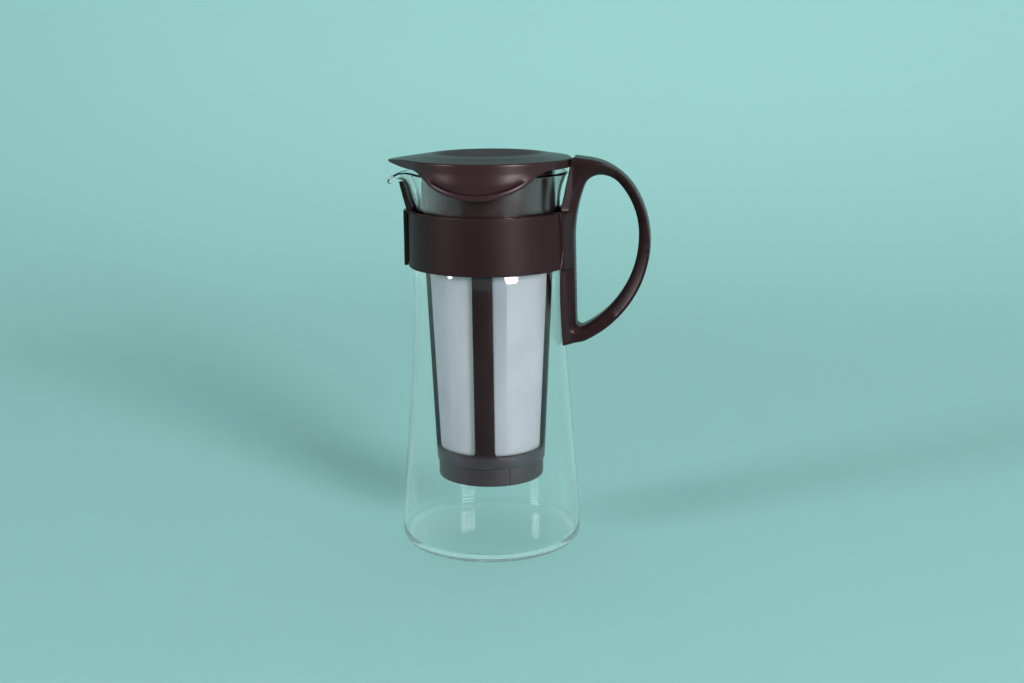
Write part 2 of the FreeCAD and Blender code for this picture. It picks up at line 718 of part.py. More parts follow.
def makeHandle():
    # A post along the glass and a loop that springs from its top and its foot, one moulding.
    # Its root fills the recess in the band and two pegs go through the web.
    body = newBody("handle")
    start = stepped(("postLean", "postTop"), "gripStartRun", "-gripStartFall")
    shoulder = stepped(start, "gripTopRun", "-gripTopFall")
    elbow = stepped(shoulder, "gripSideRun", "-gripSideFall")
    end = stepped(("postBottomReach", "postBottom"), "gripEndRun", "gripEndRise")
    outerLoop = [
        ("postBottomReach", "postBottom"),
        end,
        *flowing([end, elbow, shoulder, start], f"{heading(end, elbow)} - gripLowAngle / 2")[0],
        ("postLean", "postTop"),
        ("postBottomReach", "postTop"),
    ]
    low = stepped(end, "-openLowInset", "openLowRise")
    postLow = stepped(low, "-openCornerRun", "openCornerRise")
    post = stepped(postLow, "-openPostLean", "openPostRise")
    far = stepped(shoulder, "openSideRun", "-openSideFall")
    farTop = stepped(shoulder, "-openShoulderInset", "openShoulderRise")
    top = stepped(start, "openTopRun", "-openTopFall")
    brow = stepped(top, "-openCrownRun", "-openCrownFall")
    down = heading(post, postLow)
    arcs, leaving = flowing([postLow, low, far, farTop, top, brow], down)
    openLoop = [postLow, *arcs, runningInto(brow, leaving, postLow, down)]
    side = outline(body, "gripProfile", "XZ_Plane", [outerLoop, openLoop])
    grip = feature(body, "Pad", "grip", side, Length="gripThick", Midplane=True)

    def follows(edge, loop):
        flat = edge.BoundBox.YLength < tolerance
        corners = [(number(corner[0]), number(corner[1])) for corner in loop]
        return flat and all(
            any(math.hypot(vertex.X - x, vertex.Z - z) < tolerance for x, z in corners)
            for vertex in edge.Vertexes)

    outer = roundEdges(body, "gripEdges", grip, "gripRound", lambda edge: follows(edge, outerLoop[:6]))
    roundEdges(body, "openingEdges", outer, "openingRound", lambda edge: follows(edge, openLoop))

    saddle = outline(body, "saddleProfile", "XY_Plane", [[
        ("postBottomReach", "-saddleHalf"),
        ("saddleReach", "-gripThick / 2"),
        ("saddleReach", "gripThick / 2"),
        ("postBottomReach", "saddleHalf"),
    ]], lift="postBottom")
    feature(body, "Pad", "saddle", saddle, Length="postTop - postBottom")
    root = outline(body, "rootProfile", "XY_Plane", [[
        ("rootInnerReach", "-(seamHalf + bandThick)"),
        ("rootReach", "-(seamHalf + bandThick)"),
        ("saddleReach", "-gripThick / 2"),
        ("saddleReach", "gripThick / 2"),
        ("rootReach", "seamHalf + bandThick"),
        ("rootInnerReach", "seamHalf + bandThick"),
    ]], lift="bandBottom")
    feature(body, "Pad", "rootBlock", root, Length="bandTop - bandBottom")
    foot = outline(body, "postFootProfile", "XZ_Plane", [[
        ("postBottomReach", "postBottom"),
        ("postBottomReach", "postBottom - cutMargin"),
        (end[0], "postBottom - cutMargin"),
        end,
    ]])
    feature(body, "Pocket", "postFoot", foot, Type="ThroughAll", Midplane=True)
    middle = "(bandBottom + bandTop) / 2"
    waist = discs(body, "rootWaistProfile", "YZ_Plane", [
        ("-(seamHalf + seamSweep)", middle, "seamSweep + seamGap"),
        ("seamHalf + seamSweep", middle, "seamSweep + seamGap"),
    ])
    feature(body, "Pocket", "rootWaist", waist, Type="ThroughAll", Reversed=True)
    behindWeb = "bandBore + webThick + seamGap"
    clear = outline(body, "glassClearance", "XZ_Plane", [[
        ("0", "shoulderHeight"),
        ("neckRadius + shoulderDraw + glassGap", "shoulderHeight"),
        ("neckRadius + glassGap", "neckFoot"),
        ("neckRadius + glassGap", "bandBottom - seamGap"),
        (behindWeb, "bandBottom - seamGap"),
        (behindWeb, "bandTop + seamGap"),
        ("neckRadius + glassGap", "bandTop + seamGap"),
        ("postLean", "postTop"),
        ("postLean", "postTop + cutMargin"),
        ("0", "postTop + cutMargin"),
    ]])
    groove(body, "glassSide", clear)
    pegs = discs(body, "pegProfile", "YZ_Plane", [
        ("0", "pegLow", "pegRadius"),
        ("0", "pegHigh", "pegRadius"),
    ], lift="bandBore + seamGap")
    feature(body, "Pad", "bandPegs", pegs, Length="pegLength")
    return body


# Strainer

def coneAt(height):
    # Radius of the strainer's tapered outside at a height.
    taper = "(collarRadius - frameFootRadius) / (collarFoot - frameFoot)"
    return f"frameFootRadius + {taper} * ({height} - frameFoot)"


def windowLoop(gap):
    # A window between two ribs, seen square on: it narrows towards the foot.
    def half(height):
        across = f"({coneAt(height)})"
        return f"(sqrt({across}^2 - (ribWidth / 2)^2) - ribWidth / 2) * sqrt(0.5) - {gap}"

    bottom = f"windowBottom + {gap}"
    top = f"windowTop - {gap}"
    low = f"{bottom} + windowRound"
    high = f"{top} - windowRound"
    return [
        (f"-({half(low)} - windowRound)", bottom, "windowRound"),
        (f"{half(low)} - windowRound", bottom),
        (half(low), low, "windowRound"),
        (half(high), high),
        (f"{half(high)} - windowRound", top, "windowRound"),
        (f"-({half(high)} - windowRound)", top),
        (f"-({half(high)})", high, "windowRound"),
        (f"-({half(low)})", low),
    ]


def makeFrame():
    # One moulding: a collar, four ribs, a foot ring and two lugs that rest on the jug's rim.
    body = newBody("strainer_frame")
    profile = outline(body, "frameProfile", "XZ_Plane", [[
        ("frameFootRadius - frameWall", "frameFoot"),
        ("frameFootRadius", "frameFoot"),
        ("collarRadius", "collarFoot"),
        ("collarRadius", "collarTop"),
        ("collarRadius - frameWall", "collarTop"),
        ("collarRadius - frameWall", "collarFoot"),
    ]])
    revolve(body, "frameShell", profile)

    inner = "collarRadius - frameWall / 2"
    lug = [
        ("-lugHalf", f"sqrt(({inner})^2 - lugHalf^2)"),
        ("lugHalf", f"sqrt(({inner})^2 - lugHalf^2)", f"-({inner})"),
        ("lugHalf", "sqrt(lugReach^2 - lugHalf^2)"),
        ("-lugHalf", "sqrt(lugReach^2 - lugHalf^2)", "lugReach"),
    ]
    otherLug = [(corner[0], f"-({corner[1]})", *[f"-({arc})" for arc in corner[2:]]) for corner in lug]
    lugs = outline(body, "lugProfile", "XY_Plane", [lug, otherLug], lift="rimHeight + seatGap")
    feature(body, "Pad", "rimLugs", lugs, Length="lugThick")
    window = outline(body, "windowProfile", "XZ_Plane", [windowLoop("0")], turn="windowAngle")
    cut = feature(body, "Pocket", "window", window, Type="ThroughAll")
    ring = body.newObject("PartDesign::PolarPattern", "windows")
    ring.Originals = [cut]
    ring.Axis = (originOf(body, "Z_Axis"), [""])
    bind(ring, "Angle", "fullTurn")
    bind(ring, "Occurrences", "windowCount")
    body.Tip = ring
    doc.recompute()
    return body


def makePanel(name, turn):
    # One mesh panel, which fills a window near the inner face of the frame.
    body = newBody(name)
    window = outline(body, name + "Window", "XZ_Plane", [windowLoop("meshGap")])
    feature(body, "Pad", name + "Block", window, Length="collarRadius + cutMargin")
    low = "(windowBottom - cutMargin)"
    high = "(windowTop + cutMargin)"
    outer = [f"{coneAt(height)} - meshInset" for height in (low, high)]
    inner = [f"{radius} - meshThick" for radius in outer]
    far = "2 * collarRadius"  # beyond the block's corners
    shell = outline(body, name + "Shell", "XZ_Plane", [
        [(outer[0], low), (far, low), (far, high), (outer[1], high)],
        [("0", low), (inner[0], low), (inner[1], high), ("0", high)],
    ])
    groove(body, name + "Curve", shell)
    body.Placement = Placement(Vector(), Rotation(Vector(0, 0, 1), number(turn)))
    doc.recompute()
    return body


def makeCap():
    # A cup that plugs into the strainer's foot ring, with a small notch to line it up.
    body = newBody("strainer_cap")
    spigot = "(frameFootRadius - frameWall - spigotGap)"
    floor = "capBottom + capWall"
    shoulder = "frameFoot - capSeam"
    profile = outline(body, "capProfile", "XZ_Plane", [[
        ("0", "capBottom"),
        ("capRadius - capRound", "capBottom"),
        ("capRadius", "capBottom + capRound", "capRound"),
        ("capRadius", shoulder),
        (spigot, shoulder),
        (spigot, "frameFoot + spigotRise"),
        (f"{spigot} - capWall", "frameFoot + spigotRise"),
        (f"{spigot} - capWall", floor),
        ("0", floor),
    ]])
    revolve(body, "capShell", profile)
    notch = outline(body, "notchProfile", "XZ_Plane", [[
        ("-capNotchWidth / 2", "capBottom - cutMargin"),
        ("capNotchWidth / 2", "capBottom - cutMargin"),
        ("capNotchWidth / 2", shoulder),
        ("-capNotchWidth / 2", shoulder),
    ]], lift="capRadius - capNotchDepth", turn="capNotchAngle")
    feature(body, "Pocket", "capNotch", notch, Type="ThroughAll", Reversed=True)
    return body


# Lid

def makeLid():
    # One moulding: a flat lid with a raised middle, a skirt on each side to grip it by, and a
    # ring inside the strainer's collar. It rests on the collar.
    body = newBody("lid_blank")
    # The plan is two circles and their tangents: a round lid drawn out to a tip over the spout.
    lean = "((lidRadius - lidTipRound) / (lidTipReach - lidTipRound))"
    rise = f"sqrt(1 - {lean}^2)"
    tipCentre = "(lidTipReach - lidTipRound)"
    plan = outline(body, "lidPlan", "XY_Plane", [[
        (f"-lidRadius * {lean}", f"-lidRadius * {rise}"),
        ("lidRadius", "0", "lidRadius"),
        (f"-lidRadius * {lean}", f"lidRadius * {rise}", "lidRadius"),
        (f"-({tipCentre} + lidTipRound * {lean})", f"lidTipRound * {rise}"),
        (f"-({tipCentre} + lidTipRound * {lean})", f"-lidTipRound * {rise}", "lidTipRound"),
    ]], lift="lidBottom")
    plate = feature(body, "Pad", "lidPlate", plan, Length="lidDeep")
    roundEdges(body, "lidEdge", plate, "lidEdgeRound", lambda edge: circleAt(edge, "lidTop"))
    slope = "lidTop + plateauSlope"
    crown = outline(body, "lidCrown", "XZ_Plane", [[
        ("0", "lidTop - lidWall / 2"),
        ("lidRadius - lidEdgeRound", "lidTop - lidWall / 2"),
        ("lidRadius - lidEdgeRound", "lidTop"),
        ("plateauRadius + plateauStep", slope),
        ("plateauRadius", "lidTop + plateauRise"),
        ("0", "lidTop + plateauRise"),
    ]])
    revolve(body, "lidPlateau", crown)
    skirt = outline(body, "skirtProfile", "XZ_Plane", [[
        ("skirtInner", "skirtBottom - cutMargin"),
        ("skirtOuter", "skirtBottom - cutMargin"),
        ("skirtOuter", "skirtCorner"),
        ("lidRadius", "lidBottom"),
        ("lidRadius", "lidBottom + lidDeep / 2"),
        ("skirtInner", "lidBottom + lidDeep / 2"),
    ]])
    revolve(body, "skirtRing", skirt)
    bow = upright("skirtCorner - skirtBottom", "skirtCornerHalf")
    below = "skirtBottom - 2 * cutMargin"
    far = "lidTipReach + cutMargin"
    beside = outline(body, "skirtCut", "XZ_Plane", [[
        ("-skirtRootHalf", "lidBottom"),
        ("-skirtSideHalf", "skirtSide", "-skirtRootSweep"),
        ("-skirtCornerHalf", "skirtCorner"),
        ("skirtCornerHalf", "skirtCorner", bow),
        ("skirtSideHalf", "skirtSide"),
        ("skirtRootHalf", "lidBottom", "-skirtRootSweep"),
        (far, "lidBottom"),
        (far, below),
        (f"-({far})", below),
        (f"-({far})", "lidBottom"),
    ]])
    feature(body, "Pocket", "skirtShape", beside, Type="ThroughAll", Midplane=True)
    tip = outline(body, "lidTipProfile", "XZ_Plane", [
        [("-lidRadius", "lidBottom"), (f"-({far})", "lidBottom + lidTipLift"),
         (f"-({far})", "lidBottom - cutMargin"), ("-lidRadius", "lidBottom - cutMargin")],
        [("-lidRadius", "lidTop"), ("-lidRadius", "lidTop + cutMargin"),
         (f"-({far})", "lidTop + cutMargin"), (f"-({far})", "lidTop - lidTipFall")],
    ])
    feature(body, "Pocket", "lidTip", tip, Type="ThroughAll", Midplane=True)
    ceiling = "lidTop - lidWall"
    hollow = outline(body, "lidHollowProfile", "XZ_Plane", [[
        ("0", "lidBottom - cutMargin"),
        ("lidRadius - lidRim", "lidBottom - cutMargin"),
        ("lidRadius - lidRim", ceiling),
        ("plateauRadius - lidWall", f"{ceiling} + plateauRise"),
        ("0", f"{ceiling} + plateauRise"),
    ]])
    groove(body, "lidHollow", hollow)
    collarInner = "collarRadius - frameWall"
    ringOuter = f"({collarInner} - lidRingGap)"
    ring = outline(body, "lidRingProfile", "XZ_Plane", [[
        (f"{ringOuter} - lidRingWall", "lidBottom - lidRingDrop"),
        (ringOuter, "lidBottom - lidRingDrop"),
        (ringOuter, f"{ceiling} + plateauRise"),
        (f"{ringOuter} - lidRingWall", f"{ceiling} + plateauRise"),
    ]])
    revolve(body, "lidRing", ring)

    # The finger scoops are bars that meet the skirts, trimmed to a shallow sleeve.
    scoop = newBody("lid_scoop_bar")
    edge = upright("scoopEnd - skirtBottom - scoopLip", "scoopHalf")
    bar = outline(scoop, "scoopProfile", "XZ_Plane", [[
        ("-scoopHalf", "scoopEnd", "scoopEndRound"),
        ("scoopHalf", "scoopEnd", edge),
        ("scoopHalf", "scoopTop", "scoopEndRound"),
        ("-scoopHalf", "scoopTop"),
    ]])
    feature(scoop, "Pad", "scoopBar", bar, Length="2 * (skirtOuter + cutMargin)", Midplane=True)
    around = sleeve("scoopSleeve", "skirtOuter - scoopDepth", "skirtOuter + cutMargin",
                    "skirtBottom", "lidBottom")
    tool = partObject("Part::Common", "lidScoops", Base=around, Tool=scoop)
    lid = partObject("Part::Cut", "lidCover", Base=body, Tool=tool)
    lid.Label = "lid_cover"
    return lid


def makeParts():
    jug = makeJug()
    band = makeBand()
    clasp = makeClasp()
    handle = makeHandle()
    frame = makeFrame()
    panels = []
    for index in range(sizes["windowCount"]):
        panels.append(makePanel(f"mesh_panel_{index}", f"windowAngle + {index} * fullTurn / windowCount"))
    cap = makeCap()
    lid = makeLid()
    return [jug, band, clasp, handle, frame, *panels, cap, lid]


parts = makeParts()

for thing in doc.Objects:
    if "Invalid" in thing.State or "Error" in thing.State:
        raise RuntimeError(f"{thing.Name} failed: {thing.State}")
os.makedirs("parts", exist_ok=True)
for thing in parts:
    shape = thing.Shape
    if shape.isNull() or not shape.isValid() or len(shape.Solids) != 1:
        raise RuntimeError(f"{thing.Label} is not one sound solid")
    shape.exportStep(f"parts/{thing.Label}.step")
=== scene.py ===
import json
import math

import bmesh
import bpy
from mathutils import Matrix, Vector
from mathutils.kdtree import KDTree

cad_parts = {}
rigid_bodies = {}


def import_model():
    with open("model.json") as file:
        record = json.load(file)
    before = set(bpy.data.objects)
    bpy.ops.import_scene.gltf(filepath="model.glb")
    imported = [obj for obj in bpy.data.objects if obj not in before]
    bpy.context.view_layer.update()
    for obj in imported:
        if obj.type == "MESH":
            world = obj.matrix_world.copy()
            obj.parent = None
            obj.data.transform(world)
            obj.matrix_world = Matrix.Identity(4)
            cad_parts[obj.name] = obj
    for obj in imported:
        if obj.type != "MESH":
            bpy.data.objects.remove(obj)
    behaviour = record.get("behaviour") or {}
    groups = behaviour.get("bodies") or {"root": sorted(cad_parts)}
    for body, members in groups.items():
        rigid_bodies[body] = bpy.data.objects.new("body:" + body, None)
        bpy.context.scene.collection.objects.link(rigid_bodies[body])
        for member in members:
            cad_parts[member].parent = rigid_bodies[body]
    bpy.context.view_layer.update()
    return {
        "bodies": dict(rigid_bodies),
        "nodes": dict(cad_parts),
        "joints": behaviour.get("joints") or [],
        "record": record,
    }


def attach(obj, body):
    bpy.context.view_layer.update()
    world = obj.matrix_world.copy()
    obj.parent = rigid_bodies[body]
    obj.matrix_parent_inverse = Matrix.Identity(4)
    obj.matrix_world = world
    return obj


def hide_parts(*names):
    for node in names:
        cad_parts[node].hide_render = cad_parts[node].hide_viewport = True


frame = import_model()
bpy.ops.object.select_all(action="DESELECT")
print("frame loaded")


# shader maths

class Signal:
    # a socket that takes part in plain arithmetic
    def __init__(self, mixer, socket):
        self.mixer = mixer
        self.socket = socket

    def combine(self, operation, first, second):
        return self.mixer.node("ShaderNodeMath", {"operation": operation}, {0: first, 1: second})

    def __add__(self, other):
        return self.combine("ADD", self, other)

    def __sub__(self, other):
        return self.combine("SUBTRACT", self, other)

    def __rsub__(self, other):
        return self.combine("SUBTRACT", other, self)

    def __mul__(self, other):
        return self.combine("MULTIPLY", self, other)

    def __pow__(self, other):
        return self.combine("POWER", self, other)


class Mixer:
    # one material and the nodes that are added to it
    def __init__(self, name):
        self.material = bpy.data.materials.new(name)
        self.material.use_nodes = True
        self.tree = self.material.node_tree
        self.tree.nodes.clear()
        self.end = self.tree.nodes.new("ShaderNodeOutputMaterial")

    def feed(self, socket, value):
        if isinstance(value, Signal):
            self.tree.links.new(value.socket, socket)
        else:
            socket.default_value = value

    def node(self, kind, settings=None, inputs=None, output=0):
        made = self.tree.nodes.new(kind)
        for key, value in (settings or {}).items():
            setattr(made, key, value)
        for key, value in (inputs or {}).items():
            self.feed(made.inputs[key], value)
        return Signal(self, made.outputs[output])

    def place(self):
        return self.node("ShaderNodeTexCoord", output="Object")

    def split(self, vector):
        parts = self.node("ShaderNodeSeparateXYZ", inputs={"Vector": vector})
        names = parts.socket.node.outputs
        return [Signal(self, names[axis]) for axis in ("X", "Y", "Z")]

    def noise(self, vector, scale, detail, roughness=0.5):
        return self.node("ShaderNodeTexNoise", inputs={
            "Vector": vector, "Scale": scale, "Detail": detail, "Roughness": roughness})

    def ramp(self, factor, low, high, bottom=0.0, top=1.0):
        # a straight change from bottom to top between two values, flat outside them
        return self.node("ShaderNodeMapRange", inputs={
            "Value": factor, "From Min": low, "From Max": high, "To Min": bottom, "To Max": top})

    def blendTones(self, factor, first, second):
        mix = self.node("ShaderNodeMix", {"data_type": "RGBA"}, output="Result")
        node = mix.socket.node
        self.feed(node.inputs["Factor"], factor)
        colours = [socket for socket in node.inputs if socket.type == "RGBA"]
        self.feed(colours[0], first)
        self.feed(colours[1], second)
        return Signal(self, [socket for socket in node.outputs if socket.type == "RGBA"][0])

    def size(self, value):
        return self.node("ShaderNodeMath", {"operation": "ABSOLUTE"}, {0: value})

    def bump(self, height, distance, strength):
        return self.node("ShaderNodeBump", inputs={
            "Height": height, "Distance": distance, "Strength": strength})

    def surface(self, **sockets):
        named = {key.replace("_", " "): value for key, value in sockets.items()}
        return self.node("ShaderNodeBsdfPrincipled", inputs=named)

    def finish(self, shader):
        self.tree.links.new(shader.socket, self.end.inputs["Surface"])
        return self.material


# heights and reaches in metres: where the lid's top and the collar change the finish, where the foot ring
# takes a painted paler tone for light from the floor, and where a painted shadow line runs where cap and
# ring meet
mouldLook = {
    "driftReach": (0.35, 0.65), "glossReach": (0.3, 0.7), "glossSpread": (-0.03, 0.04),
    "grainShare": 0.06, "grainRoughness": 0.6, "bumpStrength": 0.6,
    "specularTint": (1.0, 0.84, 0.85), "coatRoughness": 0.12,
    "lidTop": (0.1985, 0.1995), "ringTop": (0.0490, 0.0515), "collarFoot": (0.168, 0.172),
    "seamShadowReach": (0.00025, 0.0006), "seamShadowShare": 0.8, "seamShadowTone": (0.004, 0.003, 0.003),
}


def mouldedPlastic(name, look):
    # satin injection-moulded plastic: fine grain in the gloss, slow drift in the tone
    mixer = Mixer(name)
    place = mixer.place()
    x, y, z = mixer.split(place)
    drift = mixer.noise(place, look["driftScale"], 3.0)
    grain = mixer.noise(place, look["grainScale"], 2.0, mouldLook["grainRoughness"])
    tone = mixer.blendTones(mixer.ramp(drift, *mouldLook["driftReach"]),
                            (*look["deepTone"], 1), (*look["paleTone"], 1))
    smoother, rougher = [look["roughness"] + spread for spread in mouldLook["glossSpread"]]
    gloss = mixer.ramp(drift, *mouldLook["glossReach"], smoother, rougher)
    gloss = gloss + (grain - 0.5) * mouldLook["grainShare"]
    coat = 0.0
    if "matte" in look:  # a matt middle on the lid's top
        inner, outer, extra = look["matte"]
        middle = mixer.ramp((x * x + y * y) ** 0.5, inner, outer, 1.0, 0.0)
        gloss = gloss + middle * mixer.ramp(z, *mouldLook["lidTop"]) * extra
    if "ringPaintedLightTone" in look:  # paler foot ring under the windows, painted light from the floor on it; polished collar over them
        ring = mixer.ramp(z, *mouldLook["ringTop"], 1.0, 0.0)
        tone = mixer.blendTones(ring, tone, (*look["ringPaintedLightTone"], 1))
        coat = mixer.ramp(z, *mouldLook["collarFoot"], 0.0, look["collarCoat"])
    if "seamHeight" in look:  # painted shadow line where cap and ring meet
        reach = mixer.size(z - look["seamHeight"])
        seamShadow = mixer.ramp(reach, *mouldLook["seamShadowReach"], mouldLook["seamShadowShare"], 0.0)
        tone = mixer.blendTones(seamShadow, tone, (*mouldLook["seamShadowTone"], 1))
    normal = mixer.bump(grain, look["grainDepth"], mouldLook["bumpStrength"])
    return mixer.finish(mixer.surface(
        Base_Color=tone, Roughness=gloss, Normal=normal, Specular_IOR_Level=look["specular"],
        Specular_Tint=(*mouldLook["specularTint"], 1), Coat_Weight=coat,
        Coat_Roughness=mouldLook["coatRoughness"]))


plasticLooks = {
    "band": {
        "deepTone": (0.0180, 0.0068, 0.0078), "paleTone": (0.0228, 0.0090, 0.0102), "roughness": 0.42,
        "driftScale": 18.0, "grainScale": 2600.0, "grainDepth": 0.00006, "specular": 0.22},
    "handle": {
        "deepTone": (0.0150, 0.0058, 0.0066), "paleTone": (0.0195, 0.0078, 0.0088), "roughness": 0.33,
        "driftScale": 14.0, "grainScale": 2600.0, "grainDepth": 0.00004, "specular": 0.24},
    "lid": {
        "deepTone": (0.0260, 0.0108, 0.0124), "paleTone": (0.0330, 0.0140, 0.0160), "roughness": 0.31,
        "driftScale": 20.0, "grainScale": 3000.0, "grainDepth": 0.00003, "specular": 0.34,
        "matte": (0.021, 0.029, 0.30)},
    "clasp": {
        "deepTone": (0.0170, 0.0080, 0.0090), "paleTone": (0.0215, 0.0105, 0.0118), "roughness": 0.36,
        "driftScale": 30.0, "grainScale": 3000.0, "grainDepth": 0.00003, "specular": 0.30},
    "frame": {
        "deepTone": (0.0092, 0.0036, 0.0040), "paleTone": (0.0125, 0.0052, 0.0058), "roughness": 0.40,
        "driftScale": 22.0, "grainScale": 2400.0, "grainDepth": 0.00005, "specular": 0.22,
        # the foot ring's paler tone below is painted light from the floor, and the dark line where cap and
        # ring meet is a painted shadow
        "ringPaintedLightTone": (0.036, 0.029, 0.036), "collarCoat": 0.9, "seamHeight": 0.0437},
    "cap": {
        "deepTone": (0.0200, 0.0125, 0.0170), "paleTone": (0.0255, 0.0160, 0.0215), "roughness": 0.48,
        "driftScale": 22.0, "grainScale": 2400.0, "grainDepth": 0.00005, "specular": 0.26,
        "seamHeight": 0.0437},
}


glassLook = {"tone": (0.985, 0.998, 0.994), "shadeTone": (0.985, 0.995, 0.992), "bending": 1.47}


def clearGlass(name):
    mixer = Mixer(name)
    glass = mixer.surface(Base_Color=(*glassLook["tone"], 1), Roughness=0.0, IOR=glassLook["bending"],
                          Transmission_Weight=1.0)
    shade = mixer.node("ShaderNodeBsdfTransparent", inputs={"Color": (*glassLook["shadeTone"], 1)})
    # light falls straight through it, so that the floor has no burnt patches round the foot
    shadow = mixer.node("ShaderNodeLightPath", output="Is Shadow Ray")
    diffuse = mixer.node("ShaderNodeLightPath", output="Is Diffuse Ray")
    return mixer.finish(mixer.node("ShaderNodeMixShader", inputs={
        0: shadow + diffuse, 1: glass, 2: shade}))


# pitch, radius, thread depth and the heights of the overlap's rise in metres
meshLook = {
    "pitch": 0.00028, "radius": 0.031, "threadDepth": 0.00004, "threadStrength": 0.7, "roughness": 0.55,
    "tone": (0.80, 0.765, 0.82), "deepShare": 0.93, "driftScale": 60.0, "driftReach": (0.35, 0.65),
    "openShare": 0.10, "milkyShare": 0.55, "overlap": (0.17, 0.435), "overlapSoft": 0.02,
    "overlapRise": (0.075, 0.125), "overlapLow": 0.2, "doubleTone": (0.60, 0.60, 0.67),
}


def strainerMesh(name):
    # woven threads: two wave sets on the cone, one round it and one up it
    mixer = Mixer(name)
    place = mixer.place()
    x, y, z = mixer.split(place)
    angle = mixer.node("ShaderNodeMath", {"operation": "ARCTAN2"}, {0: y, 1: x})
    turn = 2 * math.pi / meshLook["pitch"]
    across = mixer.node("ShaderNodeMath", {"operation": "SINE"}, {0: angle * (meshLook["radius"] * turn)})
    along = mixer.node("ShaderNodeMath", {"operation": "SINE"}, {0: z * turn})
    thread = mixer.node("ShaderNodeMath", {"operation": "MAXIMUM"}, {0: across, 1: along})
    drift = mixer.noise(place, meshLook["driftScale"], 3.0)
    deepTone = [channel * meshLook["deepShare"] for channel in meshLook["tone"]]
    tone = mixer.blendTones(mixer.ramp(drift, *meshLook["driftReach"]),
                            (*deepTone, 1), (*meshLook["tone"], 1))
    # two layers lie over each other beside the front rib, where the sleeve is welded
    around = mixer.node("ShaderNodeMath", {"operation": "ARCTAN2"}, {0: x, 1: 0 - y})
    begin, end = meshLook["overlap"]
    soft = meshLook["overlapSoft"]
    opened = mixer.ramp(around, begin - soft, begin, 0.0, 1.0)
    layers = opened * mixer.ramp(around, end, end + soft, 1.0, 0.0)
    layers = layers * mixer.ramp(z, *meshLook["overlapRise"], meshLook["overlapLow"], 1.0)
    tone = mixer.blendTones(layers, tone, (*meshLook["doubleTone"], 1))
    weave = mixer.bump(thread, meshLook["threadDepth"], meshLook["threadStrength"])
    cloth = mixer.surface(Base_Color=tone, Roughness=meshLook["roughness"], Normal=weave)
    milky = mixer.node("ShaderNodeBsdfTranslucent", inputs={"Color": tone})
    solid = mixer.node("ShaderNodeMixShader", inputs={0: meshLook["milkyShare"], 1: cloth, 2: milky})
    clear = mixer.node("ShaderNodeBsdfTransparent", inputs={"Color": (1, 1, 1, 1)})
    return mixer.finish(mixer.node("ShaderNodeMixShader", inputs={
        0: 1 - meshLook["openShare"], 1: clear, 2: solid}))


def dress(node, material):
    piece = bpy.data.objects[node]
    for slot in piece.material_slots:
        slot.material = material
    if not piece.material_slots:
        piece.data.materials.append(material)


materials = {key: mouldedPlastic(key + "Plastic", look) for key, look in plasticLooks.items()}
materials["glass"] = clearGlass("clearGlass")
materials["mesh"] = strainerMesh("wovenMesh")
print("materials made")

dress("neck_band", materials["band"])


# modelling helpers

def chooseVerts(piece, wanted):
    # in edit mode, selects the vertices whose place passes the test
    bpy.ops.mesh.select_mode(type="VERT")
    bpy.ops.mesh.select_all(action="DESELECT")
    shape = bmesh.from_edit_mesh(piece.data)
    for vert in shape.verts:
        vert.select_set(wanted(vert.co))
    shape.select_flush(True)
    bmesh.update_edit_mesh(piece.data)


joinReach = 0.00001  # points nearer than this, in metres, are one


def turned(name, line, steps):
    # a line of (radius, height) points in millimetres, drawn by extruding one vertex and spun round
    bpy.ops.object.select_all(action="DESELECT")
    bpy.ops.mesh.primitive_plane_add(size=0.001, location=(0, 0, 0))
    piece = bpy.context.object
    piece.name = name
    bpy.ops.object.mode_set(mode="EDIT")
    bpy.ops.mesh.select_all(action="SELECT")
    bpy.ops.mesh.merge(type="CENTER")
    bpy.ops.transform.translate(value=(line[0][0] / 1000, 0, line[0][1] / 1000))
    for (radius, height), (newRadius, newHeight) in zip(line, line[1:]):
        bpy.ops.mesh.extrude_region_move(TRANSFORM_OT_translate={
            "value": ((newRadius - radius) / 1000, 0, (newHeight - height) / 1000)})
    bpy.ops.mesh.select_all(action="SELECT")
    bpy.ops.mesh.spin(steps=steps, angle=2 * math.pi, center=(0, 0, 0), axis=(0, 0, 1))
    bpy.ops.mesh.select_all(action="SELECT")
    bpy.ops.mesh.remove_doubles(threshold=joinReach)
    bpy.ops.mesh.normals_make_consistent(inside=False)
    bpy.ops.object.mode_set(mode="OBJECT")
    lowest = min(piece.data.polygons, key=lambda face: face.center.z)
    if lowest.normal.z > 0:
        bpy.ops.object.mode_set(mode="EDIT")
        bpy.ops.mesh.select_all(action="SELECT")
        bpy.ops.mesh.flip_normals()
        bpy.ops.object.mode_set(mode="OBJECT")
    bpy.ops.object.shade_smooth()
    return piece


def eased(table, value):
    # a smooth curve through a table of (place, amount)
    if value <= table[0][0]:
        return table[0][1]
    if value >= table[-1][0]:
        return table[-1][1]
    spot = max(index for index, row in enumerate(table[:-1]) if row[0] <= value)
    (x0, y0), (x1, y1) = table[spot], table[spot + 1]

    def slope(index):
        before, after = table[max(index - 1, 0)], table[min(index + 1, len(table) - 1)]
        return (after[1] - before[1]) / (after[0] - before[0])

    share = (value - x0) / (x1 - x0)
    width = x1 - x0
    cube = share * share * (3 - 2 * share)
    lean = share * (1 - share) * ((1 - share) * slope(spot) - share * slope(spot + 1)) * width
    return y0 + (y1 - y0) * cube + lean


def finishModifiers(piece):
    bpy.ops.object.select_all(action="DESELECT")
    bpy.context.view_layer.objects.active = piece
    piece.select_set(True)
    for modifier in list(piece.modifiers):
        bpy.ops.object.modifier_apply(modifier=modifier.name)


